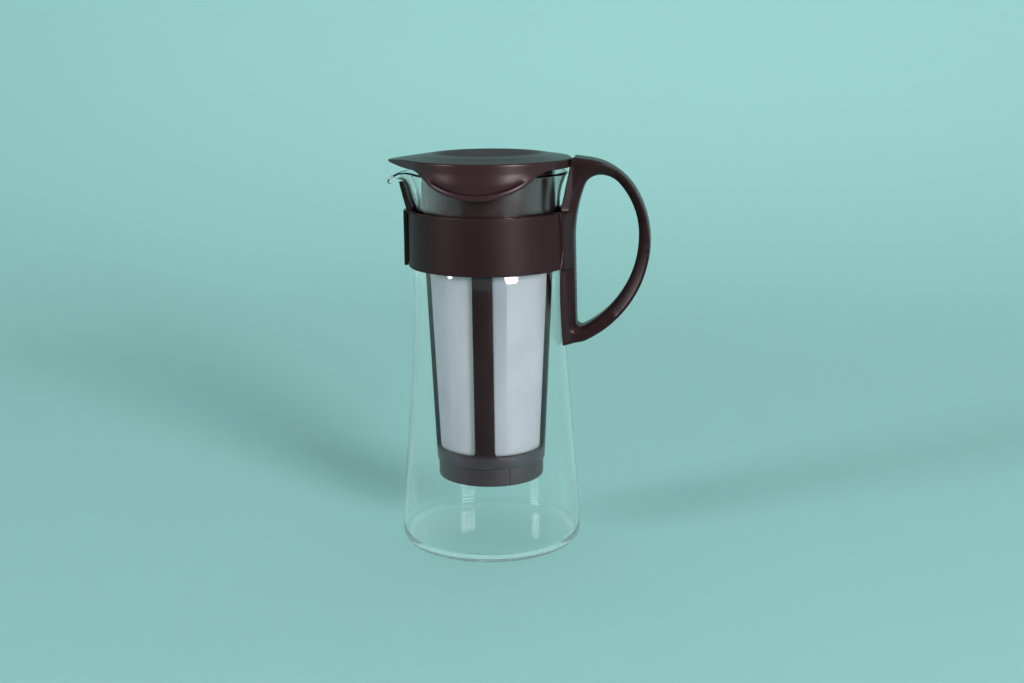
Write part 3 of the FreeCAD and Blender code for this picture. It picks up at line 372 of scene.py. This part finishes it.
def mergedCopy(node, name):
    # the solid's own mesh under a new name, with its loose triangles joined
    bpy.ops.object.select_all(action="DESELECT")
    piece = bpy.data.objects.new(name, bpy.data.objects[node].data.copy())
    bpy.context.collection.objects.link(piece)
    bpy.context.view_layer.objects.active = piece
    piece.select_set(True)
    piece.data.materials.clear()
    bpy.ops.object.mode_set(mode="EDIT")
    bpy.ops.mesh.select_all(action="SELECT")
    bpy.ops.mesh.remove_doubles(threshold=joinReach)
    bpy.ops.object.mode_set(mode="OBJECT")
    return piece


# glass jug: heights and radii in millimetres

jugLook = {
    "wall": [(5.0, 46.4), (14.0, 46.15), (23.0, 45.68), (40.0, 44.35), (60.0, 42.72), (80.0, 41.1),
             (92.0, 40.15), (104.0, 39.32), (114.0, 38.82), (124.0, 38.5), (132.0, 38.4), (138.0, 38.36),
             (141.0, 37.98),
             (144.0, 37.4), (147.0, 36.8), (150.0, 36.45), (155.0, 36.4), (168.0, 36.4), (175.5, 36.42),
             (180.0, 36.75), (184.0, 37.5), (188.0, 38.75), (191.4, 40.2)],
    "footRound": 5.0, "wallThick": 0.0017, "floorThick": 2.2, "insideRound": 4.6, "insideTop": 20.0,
    "bendSlack": 0.8, "wallSlack": 0.4, "rimRound": 0.00062, "rimAngle": 50.0, "steps": 240,
    "throat": [(164.0, 0.0), (170.0, 0.35), (176.8, 2.45), (181.0, 3.0), (185.6, 3.15), (191.8, 3.2)],
    "beakReach": [(0.0, 0.0), (0.25, 0.9), (0.5, 2.85), (0.75, 5.3), (1.0, 7.5)],
    "beakDrop": [(0.0, 0.0), (0.25, 0.05), (0.5, 1.15), (0.75, 3.35), (1.0, 6.9)],
    "throatHalf": 17.0, "beakHalf": 15.0, "beakFoot": 185.6, "beakWaist": 8.6, "beakFall": 6.8,
    "footSteps": 10, "topStep": 0.57,
}


def swell(share):
    # 1 in the middle, 0 at the sides, with no crease at either
    return (1 - share ** 2) ** 2 * (1 + 2 * share ** 2) if share < 1 else 0.0


def drawnSpout(place, rim):
    # where a point of the plain wall goes when the spout is drawn out of it
    height = place.z * 1000
    across = abs(place.y) * 1000
    if place.x > 0 or height < jugLook["throat"][0][0] or across > jugLook["throatHalf"]:
        return place
    out = eased(jugLook["throat"], height) * swell(across / jugLook["throatHalf"])
    share = (height - jugLook["beakFoot"]) / (rim - jugLook["beakFoot"])
    drop = 0.0
    if share > 0:
        soft = swell(across / jugLook["beakHalf"])
        out += eased(jugLook["beakReach"], share) * soft / (1 + (across / jugLook["beakWaist"]) ** 4)
        drop = eased(jugLook["beakDrop"], share) * soft * math.exp(-(across / jugLook["beakFall"]) ** 2)
    return Vector((place.x - out / 1000, place.y, place.z - drop / 1000))


def makeJug():
    look = jugLook
    foot = look["wall"][0][1] - look["footRound"]
    line = [(0.0, 0.0), (foot * 0.5, 0.0), (foot - 2, 0.0), (foot, 0.0)]
    for step in range(1, look["footSteps"] + 1):
        angle = math.pi / 2 * step / look["footSteps"]
        line.append((foot + look["footRound"] * math.sin(angle), look["footRound"] * (1 - math.cos(angle))))
    # the rings lie closer together where the wall bends
    heights = [8, 11, 14, 18, 23, 30, 38, 48, 60, 72, 84, 92, 98, 104, 109, 114, 119, 124, 129, 133]
    heights += [136 + step for step in range(20)] + [159, 163] + [165 + step for step in range(15)]
    heights += [180 + step * look["topStep"] for step in range(21)]
    line += [(eased(look["wall"], height), height) for height in heights]
    jug = turned("jug_glass", line, look["steps"])
    rim = line[-1][1]
    for vert in jug.data.vertices:
        vert.co = drawnSpout(vert.co, rim)
    wall = jug.modifiers.new("wall", "SOLIDIFY")
    wall.thickness = look["wallThick"]
    wall.offset = -1
    wall.use_even_offset = True
    wall.use_quality_normals = True
    finishModifiers(jug)
    # the floor inside is thicker than the wall
    thin, bend = look["wallThick"] * 1000, look["insideRound"]
    wallSide = look["wall"][0][1] - thin
    for vert in jug.data.vertices:
        radius, height = math.hypot(vert.co.x, vert.co.y) * 1000, vert.co.z * 1000
        reach, drop = radius - foot, look["footRound"] - height
        inside = radius < wallSide + look["wallSlack"]
        if drop > 0:
            inside = math.hypot(max(reach, 0), drop) < look["footRound"] - look["bendSlack"]
        if not inside or height > look["insideTop"]:
            continue
        newRadius = radius
        if reach <= 0 and drop > 0:
            newRadius = radius * (wallSide - bend) / foot
            newHeight = look["floorThick"]
        elif drop > 0:
            angle = math.atan2(reach, drop)
            newRadius = wallSide - bend + bend * math.sin(angle)
            newHeight = look["floorThick"] + bend * (1 - math.cos(angle))
        else:
            begin = look["floorThick"] + bend
            newHeight = begin - drop / (look["insideTop"] - look["footRound"]) * (look["insideTop"] - begin)
        if radius > 0.001:
            vert.co.x *= newRadius / radius
            vert.co.y *= newRadius / radius
        vert.co.z = newHeight / 1000
    rounded = jug.modifiers.new("rim", "BEVEL")
    rounded.width = look["rimRound"]
    rounded.segments = 3
    rounded.limit_method = "ANGLE"
    rounded.angle_limit = math.radians(look["rimAngle"])
    finishModifiers(jug)
    bpy.ops.object.shade_smooth()
    jug.data.materials.append(materials["glass"])
    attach(jug, "jug")
    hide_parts("glass_jug")


makeJug()
print("jug made")


# strainer mesh: one stretched sheet in each window

sheetLook = {
    "footRadius": 28.0, "collarRadius": 33.8, "footHeight": 43.8, "collarHeight": 176.0, "depth": 2.35,
    "bottom": 50.5, "top": 166.9, "turn": 47.5, "ribWidth": 10.0, "ribGap": 0.06, "thick": 0.00018,
    "columns": 36, "rows": 90, "crease": 0.05, "creaseFade": 8,
}


def windowEdge(height):
    # the sheet's radius, and half the angle between two ribs on the frame's outside; the ribs' sides are
    # parallel and the sheet lies further in, so it ends about 1.7 mm short of each rib, a known fault
    look = sheetLook
    taper = (look["collarRadius"] - look["footRadius"]) / (look["collarHeight"] - look["footHeight"])
    outer = look["footRadius"] + taper * (height - look["footHeight"])
    return outer - look["depth"], math.pi / 4 - math.asin((look["ribWidth"] / 2 + look["ribGap"]) / outer)


def sheetPoint(share, height, middle):
    look = sheetLook
    radius, half = windowEdge(height)
    angle = middle + half * share
    # faint upright creases, gone at the sheet's edges
    fade = look["creaseFade"]
    grip = (1 - share ** 2) * min(1.0, (height - look["bottom"]) / fade, (look["top"] - height) / fade)
    slack = math.sin(share * 9 + height * 0.021) + 0.6 * math.sin(share * 21 - height * 0.013)
    radius += look["crease"] * grip * slack
    return radius * math.cos(angle) / 1000, radius * math.sin(angle) / 1000, height / 1000


def makeSheet(index):
    look = sheetLook
    bpy.ops.object.select_all(action="DESELECT")
    bpy.ops.mesh.primitive_grid_add(x_subdivisions=look["columns"], y_subdivisions=look["rows"], size=2,
                                    location=(0, 0, 0))
    sheet = bpy.context.object
    sheet.name = f"strainer_cloth_{index}"
    middle = math.radians(-90 + look["turn"] + 90 * index)
    for vert in sheet.data.vertices:
        height = look["bottom"] + (look["top"] - look["bottom"]) * (vert.co.y + 1) / 2
        vert.co = sheetPoint(vert.co.x, height, middle)
    bpy.ops.object.mode_set(mode="EDIT")
    bpy.ops.mesh.select_all(action="SELECT")
    bpy.ops.mesh.normals_make_consistent(inside=False)
    bpy.ops.object.mode_set(mode="OBJECT")
    cloth = sheet.modifiers.new("cloth", "SOLIDIFY")
    cloth.thickness = look["thick"]
    cloth.offset = 0
    finishModifiers(sheet)
    bpy.ops.object.shade_smooth()
    sheet.data.materials.append(materials["mesh"])
    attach(sheet, "strainer")
    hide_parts(f"mesh_panel_{index}")
    lowRadius, topRadius = windowEdge(look["bottom"])[0], windowEdge(look["top"])[0]
    width = 2 * windowEdge(look["top"])[1] * topRadius / 1000
    length = math.hypot(look["top"] - look["bottom"], topRadius - lowRadius) / 1000


for index in range(4):
    makeSheet(index)
print("strainer cloth made")


# strainer frame: the windows' edges and the rings carry a small bevel

frameLook = {"bevel": 0.0004, "angle": 40.0}


def makeFrame():
    frame = mergedCopy("strainer_frame", "strainer_body")
    soft = frame.modifiers.new("soft", "BEVEL")
    soft.width = frameLook["bevel"]
    soft.segments = 2
    soft.limit_method = "ANGLE"
    soft.angle_limit = math.radians(frameLook["angle"])
    finishModifiers(frame)
    bpy.ops.object.shade_smooth_by_angle(angle=math.radians(frameLook["angle"]))
    frame.data.materials.append(materials["frame"])
    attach(frame, "strainer")
    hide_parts("strainer_frame")


makeFrame()
print("strainer frame made")


# strainer cap: heights and radii in millimetres

capLook = {"bottom": 34.5, "top": 43.6, "radius": 27.2, "round": 1.2, "spigot": 25.1, "spigotTop": 48.2,
           "wall": 1.8, "edge": 0.3, "notchAngle": 28.0, "notchHalf": 0.62, "notchDepth": 0.45,
           "slack": 0.01, "smoothAngle": 30.0, "roundSteps": 6, "steps": 480}


def makeCap():
    look = capLook
    bottom, top, radius, bend = look["bottom"], look["top"], look["radius"], look["round"]
    edge, spigot, spigotTop = look["edge"], look["spigot"], look["spigotTop"]
    bore, floor = spigot - look["wall"], bottom + look["wall"]
    line = [(0.0, bottom), (12.0, bottom), (22.0, bottom), (radius - bend, bottom)]
    for step in range(1, look["roundSteps"] + 1):
        turn = math.pi / 2 * step / look["roundSteps"]
        line.append((radius - bend + bend * math.sin(turn), bottom + bend * (1 - math.cos(turn))))
    line += [(radius, height) for height in (37.0, 39.0, 41.0, 42.5, top - edge)]
    line += [(radius - edge * 0.3, top - edge * 0.3), (radius - edge, top)]
    line += [(spigot, top), (spigot, spigotTop - edge), (spigot - edge, spigotTop),
             (bore + edge, spigotTop), (bore, spigotTop - edge), (bore, floor), (10.0, floor), (0.0, floor)]
    cap = turned("cap_shell", line, look["steps"])
    notch = math.radians(look["notchAngle"])
    for vert in cap.data.vertices:
        place = vert.co
        reach = math.hypot(place.x, place.y) * 1000
        aside = abs(math.atan2(place.x, -place.y) - notch) * radius
        outside = reach > radius - bend and place.z * 1000 < top + look["slack"]
        if outside and aside < look["notchHalf"]:
            depth = look["notchDepth"] * (1 - (aside / look["notchHalf"]) ** 2)
            vert.co.x *= 1 - depth / reach
            vert.co.y *= 1 - depth / reach
    bpy.ops.object.shade_smooth_by_angle(angle=math.radians(look["smoothAngle"]))
    cap.data.materials.append(materials["cap"])
    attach(cap, "cap")
    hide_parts("strainer_cap")


makeCap()
print("cap made")


# clasp: a thin curved plate whose two sides reach in to the band

claspLook = {"inside": 41.95, "outside": 42.95, "cadOutside": 43.85, "side": 8.6, "sideReach": 41.0,
             "slack": 0.02, "smoothAngle": 35.0}


def makeClasp():
    look = claspLook
    plate = mergedCopy("band_clasp", "clasp_plate")
    thin = (look["outside"] - look["inside"]) / (look["cadOutside"] - look["inside"])
    for vert in plate.data.vertices:
        radius = math.hypot(vert.co.x, vert.co.y) * 1000
        if radius < look["inside"] - look["slack"]:
            continue
        newRadius = look["inside"] + (radius - look["inside"]) * thin
        if radius < look["inside"] + look["slack"] and abs(vert.co.y) * 1000 > look["side"]:
            newRadius = look["sideReach"]
        vert.co.x *= newRadius / radius
    plate.data.materials.append(materials["clasp"])
    bpy.ops.object.shade_smooth_by_angle(angle=math.radians(look["smoothAngle"]))
    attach(plate, "clasp")
    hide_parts("band_clasp")


makeClasp()
print("clasp made")


# handle: the opening's edge is thinned like a lens, and every edge is soft

# lengths in metres; rimFlank and rimFacing say which faces look into the opening
handleLook = {
    "cell": 0.00044, "rounds": 9, "lastRounds": 5, "easeShare": 0.5, "middle": (0.0585, 0.152),
    "rimStart": 0.042, "rimFlank": 0.5, "rimFacing": 0.35, "postEdge": 0.052, "postBlend": 0.012,
    "postWidth": 0.0034, "loopWidth": 0.0074, "postThin": 0.26, "loopThin": 0.58, "lensPower": 1.1,
}


def addEase(piece, rounds):
    ease = piece.modifiers.new("ease", "SMOOTH")
    ease.factor = handleLook["easeShare"]
    ease.iterations = rounds
    finishModifiers(piece)


def makeHandle():
    look = handleLook
    # laid out in even faces and eased, so that its edges are moulded, not cut
    grip = mergedCopy("handle", "jug_handle")
    even = grip.modifiers.new("even", "REMESH")
    even.mode = "VOXEL"
    even.voxel_size = look["cell"]
    addEase(grip, look["rounds"])
    bpy.ops.object.shade_smooth()
    centre = Vector((look["middle"][0], 0, look["middle"][1]))
    rim = []
    for vert in grip.data.vertices:
        inward = Vector((centre.x - vert.co.x, 0, centre.z - vert.co.z)).normalized()
        faces = abs(vert.normal.y) < look["rimFlank"] and vert.normal.dot(inward) > look["rimFacing"]
        if vert.co.x > look["rimStart"] and faces:
            rim.append(vert.co)
    tree = KDTree(len(rim))
    for index, place in enumerate(rim):
        tree.insert((place.x, 0, place.z), index)
    tree.balance()
    for vert in grip.data.vertices:
        near = tree.find((vert.co.x, 0, vert.co.z))[2]
        share = min(1.0, max(0.0, (vert.co.x - look["postEdge"]) / look["postBlend"]))
        width = look["postWidth"] + (look["loopWidth"] - look["postWidth"]) * share
        if near < width:
            thin = look["postThin"] + (look["loopThin"] - look["postThin"]) * share
            vert.co.y *= 1 - thin * (1 - near / width) ** look["lensPower"]
    addEase(grip, look["lastRounds"])
    grip.data.materials.append(materials["handle"])
    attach(grip, "jug")
    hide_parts("handle")


makeHandle()
print("handle made")


# lid: heights and radii in millimetres

lidLook = {
    "top": [(0.0, 200.9), (23.0, 200.9), (26.5, 200.88), (29.0, 200.76), (31.5, 200.42), (34.0, 199.98),
            (37.5, 199.42), (41.0, 198.9)],
    "radius": 41.9, "edgeRound": 0.9, "topEdge": 198.9, "bottom": 194.5, "plateau": 30.2,
    "tipReach": 51.0, "tipRound": 6.0, "tipLift": 2.2, "tipFall": 1.2,
    "skirtOuter": 42.5, "skirtInner": 40.8, "skirtLow": 181.2, "leanHeight": 7.1, "lipHeight": 2.6,
    "arcHalf": 23.0, "arcTop": 187.4, "runHalf": 28.0, "runTop": 191.3, "sweepHalf": 34.8,
    "sweepPower": 1.9, "skirtStart": 36, "faceStart": 41.6, "lipShare": 0.45, "lipLeast": 0.3,
    "scoopHalf": 22.8, "scoopTop": 193.0, "scoopDepth": (0.45, 0.8), "scoopPowers": (1.7, 7),
    "scoopEnd": 3.2, "beadHeight": 0.4, "beadPast": 3, "beadFade": 5, "wall": 2.2, "rim": 3.2,
    "ringOuter": 30.7, "ringInner": 28.9, "ringLow": 188.0, "ringEdge": 0.3,
    "slack": 0.001, "smoothAngle": 38.0, "roundSteps": 6, "skirtSteps": 26, "steps": 360,
}


def noseReach(angle):
    # the lid's outline, seen from above, by angle from the spout's side
    look = lidLook
    middle = look["tipReach"] - look["tipRound"]
    touch = math.acos((look["radius"] - look["tipRound"]) / middle)
    if angle >= touch:
        return look["radius"]
    begin = math.atan2(look["tipRound"] * math.sin(touch), middle + look["tipRound"] * math.cos(touch))
    if angle >= begin:
        return look["radius"] / math.cos(touch - angle)
    return middle * math.cos(angle) + math.sqrt(look["tipRound"] ** 2 - (middle * math.sin(angle)) ** 2)


def skirtFoot(across):
    # height of the skirt's lower edge, by distance from its middle
    look = lidLook
    if across >= look["sweepHalf"]:
        return look["bottom"]
    if across >= look["runHalf"]:
        share = (across - look["runHalf"]) / (look["sweepHalf"] - look["runHalf"])
        return look["runTop"] + (look["bottom"] - look["runTop"]) * (1 - (1 - share) ** look["sweepPower"])
    rise = look["arcTop"] - look["skirtLow"]
    if across <= look["arcHalf"]:
        bend = (look["arcHalf"] ** 2 + rise ** 2) / (2 * rise)
        return look["skirtLow"] + bend - math.sqrt(bend ** 2 - across ** 2)
    share = (across - look["arcHalf"]) / (look["runHalf"] - look["arcHalf"])
    return look["arcTop"] + (look["runTop"] - look["arcTop"]) * share


def scoopDepth(across, height, lip):
    # a finger scoop that deepens downwards to a crisp step over the lip
    look = lidLook
    end = min(1.0, max(0.0, (look["scoopHalf"] - across) / look["scoopEnd"]))
    if end == 0 or height > look["scoopTop"] or height < lip:
        return 0.0
    share = (look["scoopTop"] - height) / (look["scoopTop"] - lip)
    slope, groove = look["scoopDepth"]
    slopePower, groovePower = look["scoopPowers"]
    return (slope * share ** slopePower + groove * share ** groovePower) * math.sqrt(end * (2 - end))


def lipBead(across, height, low, lip):
    # the rounded bead under the scoop, faded out past the scoop's ends
    look = lidLook
    share = (height - low) / (lip - low)
    end = min(1.0, max(0.0, (look["scoopHalf"] + look["beadPast"] - across) / look["beadFade"]))
    if end == 0 or share <= 0 or share >= 1:
        return 0.0
    return look["beadHeight"] * end * math.sqrt(4 * share * (1 - share))


def lidPoint(place):
    # where a point of the plain turned lid ends up
    look = lidLook
    bottom, slack, outer = look["bottom"], look["slack"], look["skirtOuter"]
    radius, height = math.hypot(place.x, place.y) * 1000, place.z * 1000
    if radius < look["plateau"]:
        return place
    angle = math.atan2(abs(place.y), -place.x)
    out = noseReach(angle) - look["radius"]
    share = min(1.0, (radius - look["plateau"]) / (look["radius"] - look["plateau"]))
    if height < bottom - slack and radius > look["skirtStart"]:
        lipLine = look["skirtLow"] + look["lipHeight"]
        across = abs(math.cos(angle)) * outer
        low = skirtFoot(across)
        lip = low + min(look["lipHeight"], look["lipShare"] * (bottom - low))
        if height >= lipLine - slack:
            height = bottom - (bottom - height) / (bottom - lipLine) * (bottom - lip)
            scooped = height > lip + slack
        else:
            height = lip - (lipLine - height) / look["lipHeight"] * (lip - low)
            scooped = False
        if radius > look["faceStart"]:
            lean = min(1.0, (bottom - height) / look["leanHeight"])
            lean = lean * lean * (3 - 2 * lean) * (outer - look["radius"])
            depth = scoopDepth(across, height, lip) if scooped else 0.0
            bead = lipBead(across, height, low, lip) if lip - low > look["lipLeast"] else 0.0
            radius = look["radius"] + lean - depth + bead + min(0.0, radius - outer)
    radius += out * share
    if height > bottom - slack:
        tip = out / (look["tipReach"] - look["radius"]) * share ** 2
        top = look["topEdge"] - look["tipFall"] * tip
        foot = bottom + look["tipLift"] * tip
        height = foot + (height - bottom) / (look["topEdge"] - bottom) * (top - foot)
    scale = radius / (math.hypot(place.x, place.y) * 1000)
    return Vector((place.x * scale, place.y * scale, height / 1000))


def lidLine():
    # half a section through the plain lid: the top, round the skirt, and back under it to the middle
    look = lidLook
    bottom, outer, low = look["bottom"], look["skirtOuter"], look["skirtLow"]
    inner = look["radius"] - look["edgeRound"]
    radii = [0, 5, 10, 15, 19, 22] + [23 + 0.75 * step for step in range(24)] + [inner]
    line = [(radius, eased(look["top"], radius)) for radius in radii]
    for step in range(1, look["roundSteps"] + 1):
        turn = math.pi / 2 * step / look["roundSteps"]
        line.append((inner + look["edgeRound"] * math.sin(turn),
                     look["topEdge"] - look["edgeRound"] * (1 - math.cos(turn))))
    line += [(look["radius"], height) for height in (197.3, 196.6, 195.9, 195.2, bottom)]
    lipLine = low + look["lipHeight"]
    drop = (bottom - lipLine) / look["skirtSteps"]
    line += [(outer, bottom - drop * step) for step in range(1, look["skirtSteps"])]
    line.append((outer, lipLine + 0.12))
    line += [(outer, lipLine - fall) for fall in (0.02, 0.3, 0.8, 1.4)]
    line += [(outer, low + 0.5), (outer - 0.06, low + 0.26), (outer - 0.22, low + 0.08)]
    line += [(outer - 0.45, low), (41.3, low), (41.0, low + 0.12), (40.86, low + 0.3)]
    line += [(look["skirtInner"], height) for height in (low + 0.6, lipLine, 186.0, 189.0, 192.0, bottom)]
    ledge = look["radius"] - look["rim"]
    under = look["topEdge"] - look["wall"]
    edge = look["ringEdge"]
    line += [(ledge, bottom), (ledge - edge, bottom + edge), (ledge - edge, under), (34.0, under)]
    ringOuter, ringInner, ringLow = look["ringOuter"], look["ringInner"], look["ringLow"]
    line += [(ringOuter, under), (ringOuter, ringLow + edge), (ringOuter - edge, ringLow),
             (ringInner + edge, ringLow), (ringInner, ringLow + edge), (ringInner, under)]
    return line + [(15.0, under), (0.0, under)]


def makeLid():
    lid = turned("lid_shell", lidLine(), lidLook["steps"])
    for vert in lid.data.vertices:
        vert.co = lidPoint(vert.co)
    bpy.ops.object.mode_set(mode="EDIT")
    bpy.ops.mesh.select_all(action="SELECT")
    bpy.ops.mesh.remove_doubles(threshold=joinReach)
    bpy.ops.object.mode_set(mode="OBJECT")
    bpy.ops.object.shade_smooth_by_angle(angle=math.radians(lidLook["smoothAngle"]))
    lid.data.materials.append(materials["lid"])
    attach(lid, "lid")
    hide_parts("lid_cover")


makeLid()
print("lid made")


# stage, light and camera

# reaches in metres: "along" runs from the camera's side to the back, "across" from left to right
stageLook = {
    "floorRadius": 0.6, "rimRadius": 3.2, "wallHeight": 0.3, "sides": 128, "arcSteps": 32,
    "tone": (0.335, 0.605, 0.585), "roughness": 0.9, "specular": 0.1,
    "roomTone": (0.05, 0.05, 0.052), "paperEdge": -0.12, "roomEdge": -0.42,
    "evenTone": (0.285, 0.565, 0.545), "evenReach": (0.45, 0.95), "evenSide": (-0.4, -0.1),
    "nearSlant": 0.7, "nearSoft": (-0.1, 0.1), "nearReach": (-1.25, -0.85),
    "panelGlow": 1.3, "panelReach": (0.5, 1.5), "panelShares": (0.05, 0.42),
}


def stagePaper():
    mixer = Mixer("stagePaper")
    look = stageLook
    paper = mixer.surface(Base_Color=(*look["tone"], 1), Roughness=look["roughness"],
                          Specular_IOR_Level=look["specular"])
    across, along = mixer.split(mixer.place())[:2]
    # the camera, also through glass, sees the paper beside the lamps as evenly lit as the rest
    even = mixer.node("ShaderNodeEmission", inputs={"Color": (*look["evenTone"], 1), "Strength": 1.0})
    seen = mixer.node("ShaderNodeLightPath", output="Is Camera Ray")
    seen = seen + mixer.node("ShaderNodeLightPath", output="Is Transmission Ray")
    far = mixer.ramp((across * across + along * along) ** 0.5, *look["evenReach"])
    far = far * mixer.ramp(along, *look["evenSide"], 1.0, 0.0)
    paper = mixer.node("ShaderNodeMixShader", inputs={0: seen * far, 1: paper, 2: even})
    # gloss shows the paper at the back and a dim room in front; within the glass wall it shows
    # the paper in front too, apart from a near part of it that stays dim
    room = mixer.surface(Base_Color=(*look["roomTone"], 1), Roughness=1.0, Specular_IOR_Level=0.0)
    glossy = mixer.ramp(mixer.node("ShaderNodeLightPath", output="Glossy Depth"), 0.0, 1.0)
    passed = mixer.node("ShaderNodeLightPath", output="Transmission Depth")
    within = mixer.ramp(passed, 0.0, 1.0) * mixer.ramp(passed, 3.0, 4.0, 1.0, 0.0)
    ahead = mixer.ramp(along, look["roomEdge"], look["paperEdge"], 1.0, 0.0)
    near = mixer.ramp(mixer.size(across) + along * look["nearSlant"], *look["nearSoft"], 1.0, 0.0)
    near = near * mixer.ramp(along, *look["nearReach"])
    dim = glossy * ahead * (1 - within * (1 - near))
    # painted glints: glowing panels on the paper at both sides, which are no lamps and which only
    # reflections behind a glass surface catch
    panel = mixer.node("ShaderNodeEmission", inputs={"Color": (1, 1, 1, 1), "Strength": look["panelGlow"]})
    sides = mixer.ramp(mixer.size(across), *look["panelReach"], *look["panelShares"])
    glint = glossy * mixer.ramp(passed, 0.0, 1.0) * sides
    paper = mixer.node("ShaderNodeMixShader", inputs={0: glint, 1: paper, 2: panel})
    return mixer.finish(mixer.node("ShaderNodeMixShader", inputs={0: dim, 1: paper, 2: room}))


def makeStage():
    # a round floor that sweeps up into a wall all round
    look = stageLook
    bpy.ops.mesh.primitive_circle_add(vertices=look["sides"], radius=look["floorRadius"],
                                      fill_type="NOTHING", location=(0, 0, 0))
    floor = bpy.context.object
    floor.name = "floor"
    bpy.ops.object.mode_set(mode="EDIT")
    bpy.ops.mesh.select_all(action="SELECT")
    sweep = look["rimRadius"] - look["floorRadius"]
    radius = look["floorRadius"]
    for step in range(1, look["arcSteps"] + 1):
        angle = math.pi / 2 * step / look["arcSteps"]
        newRadius = look["floorRadius"] + sweep * math.sin(angle)
        rise = sweep * (math.cos(angle - math.pi / 2 / look["arcSteps"]) - math.cos(angle))
        bpy.ops.mesh.extrude_region_move(TRANSFORM_OT_translate={"value": (0, 0, rise)})
        growth = newRadius / radius
        bpy.ops.transform.resize(value=(growth, growth, 1), center_override=(0, 0, 0))
        radius = newRadius
    bpy.ops.mesh.extrude_region_move(TRANSFORM_OT_translate={"value": (0, 0, look["wallHeight"])})
    chooseVerts(floor, lambda place: place.z < joinReach)
    bpy.ops.mesh.edge_face_add()
    bpy.ops.object.mode_set(mode="OBJECT")
    bpy.ops.object.shade_smooth()
    floor.data.materials.append(stagePaper())


# lamps stand round the object, by angle from the camera's side, height angle and distance
lightLooks = {
    "key": {"azimuth": 34.0, "elevation": 15.5, "distance": 2.0,
            "width": 0.74, "height": 0.66, "watts": 46.0},
    "fill": {"azimuth": -64.0, "elevation": 17.0, "distance": 2.0,
             "width": 0.5, "height": 0.5, "watts": 17.0},
    "overhead": {"azimuth": 0.0, "elevation": 89.0, "distance": 2.3,
                 "width": 2.4, "height": 2.4, "watts": 4.0},
}
lampAim = (0, 0, 0.1)
backdropLook = {"spot": (0.1, 1.0, 1.5), "aim": (0.1, 2.2, 0.45),
                "width": 2.4, "height": 0.8, "watts": 14.0}
airLook = {"tone": (0.90, 0.94, 0.94), "strength": 0.28}

# angles in degrees, lens and sensor in millimetres, distance and height in metres
cameraLook = {"azimuth": 9.0, "distance": 0.7156, "height": 0.2609, "pitch": 12.36, "aside": -0.905,
              "roll": -0.45, "lens": 50.0, "sensor": 36.0}


def addLamp(name, look, spot, away):
    lamp = bpy.data.lights.new(name, "AREA")
    lamp.shape = "ELLIPSE"
    lamp.size = look["width"]
    lamp.size_y = look["height"]
    lamp.energy = look["watts"]
    holder = bpy.data.objects.new(name, lamp)
    holder.location = spot
    holder.rotation_euler = away.to_track_quat("Z", "Y").to_euler()
    holder.visible_camera = False
    bpy.context.collection.objects.link(holder)


def makeLights():
    for name, look in lightLooks.items():
        around = math.radians(cameraLook["azimuth"] + look["azimuth"])
        up = math.radians(look["elevation"])
        away = Vector((math.sin(around) * math.cos(up), -math.cos(around) * math.cos(up), math.sin(up)))
        addLamp(name, look, away * look["distance"] + Vector(lampAim), away)
    spot = Vector(backdropLook["spot"])
    addLamp("backdrop", backdropLook, spot, spot - Vector(backdropLook["aim"]))
    world = bpy.data.worlds.new("studioAir")
    world.use_nodes = True
    air = world.node_tree.nodes["Background"]
    air.inputs["Color"].default_value = (*airLook["tone"], 1)
    air.inputs["Strength"].default_value = airLook["strength"]
    bpy.context.scene.world = world


def makeCamera():
    azimuth = math.radians(cameraLook["azimuth"])
    pitch = math.radians(cameraLook["pitch"])
    roll = math.radians(cameraLook["roll"])
    spot = Vector((math.sin(azimuth), -math.cos(azimuth), 0)) * cameraLook["distance"]
    spot.z = cameraLook["height"]
    yaw = math.atan2(-spot.y, -spot.x) + math.radians(cameraLook["aside"])
    ahead = Vector((math.cos(yaw) * math.cos(pitch), math.sin(yaw) * math.cos(pitch), -math.sin(pitch)))
    right = ahead.cross(Vector((0, 0, 1))).normalized()
    up = right.cross(ahead)
    level = right * math.cos(roll) + up * math.sin(roll)
    upright = up * math.cos(roll) - right * math.sin(roll)
    turn = Matrix((level, upright, -ahead)).transposed().to_4x4()
    data = bpy.data.cameras.new("camera")
    data.lens = cameraLook["lens"]
    data.sensor_width = cameraLook["sensor"]
    holder = bpy.data.objects.new("camera", data)
    holder.matrix_world = Matrix.Translation(spot) @ turn
    bpy.context.collection.objects.link(holder)
    bpy.context.scene.camera = holder


makeStage()
makeLights()
makeCamera()
bpy.context.scene.view_settings.view_transform = "Standard"
print("stage, lights and camera ready")
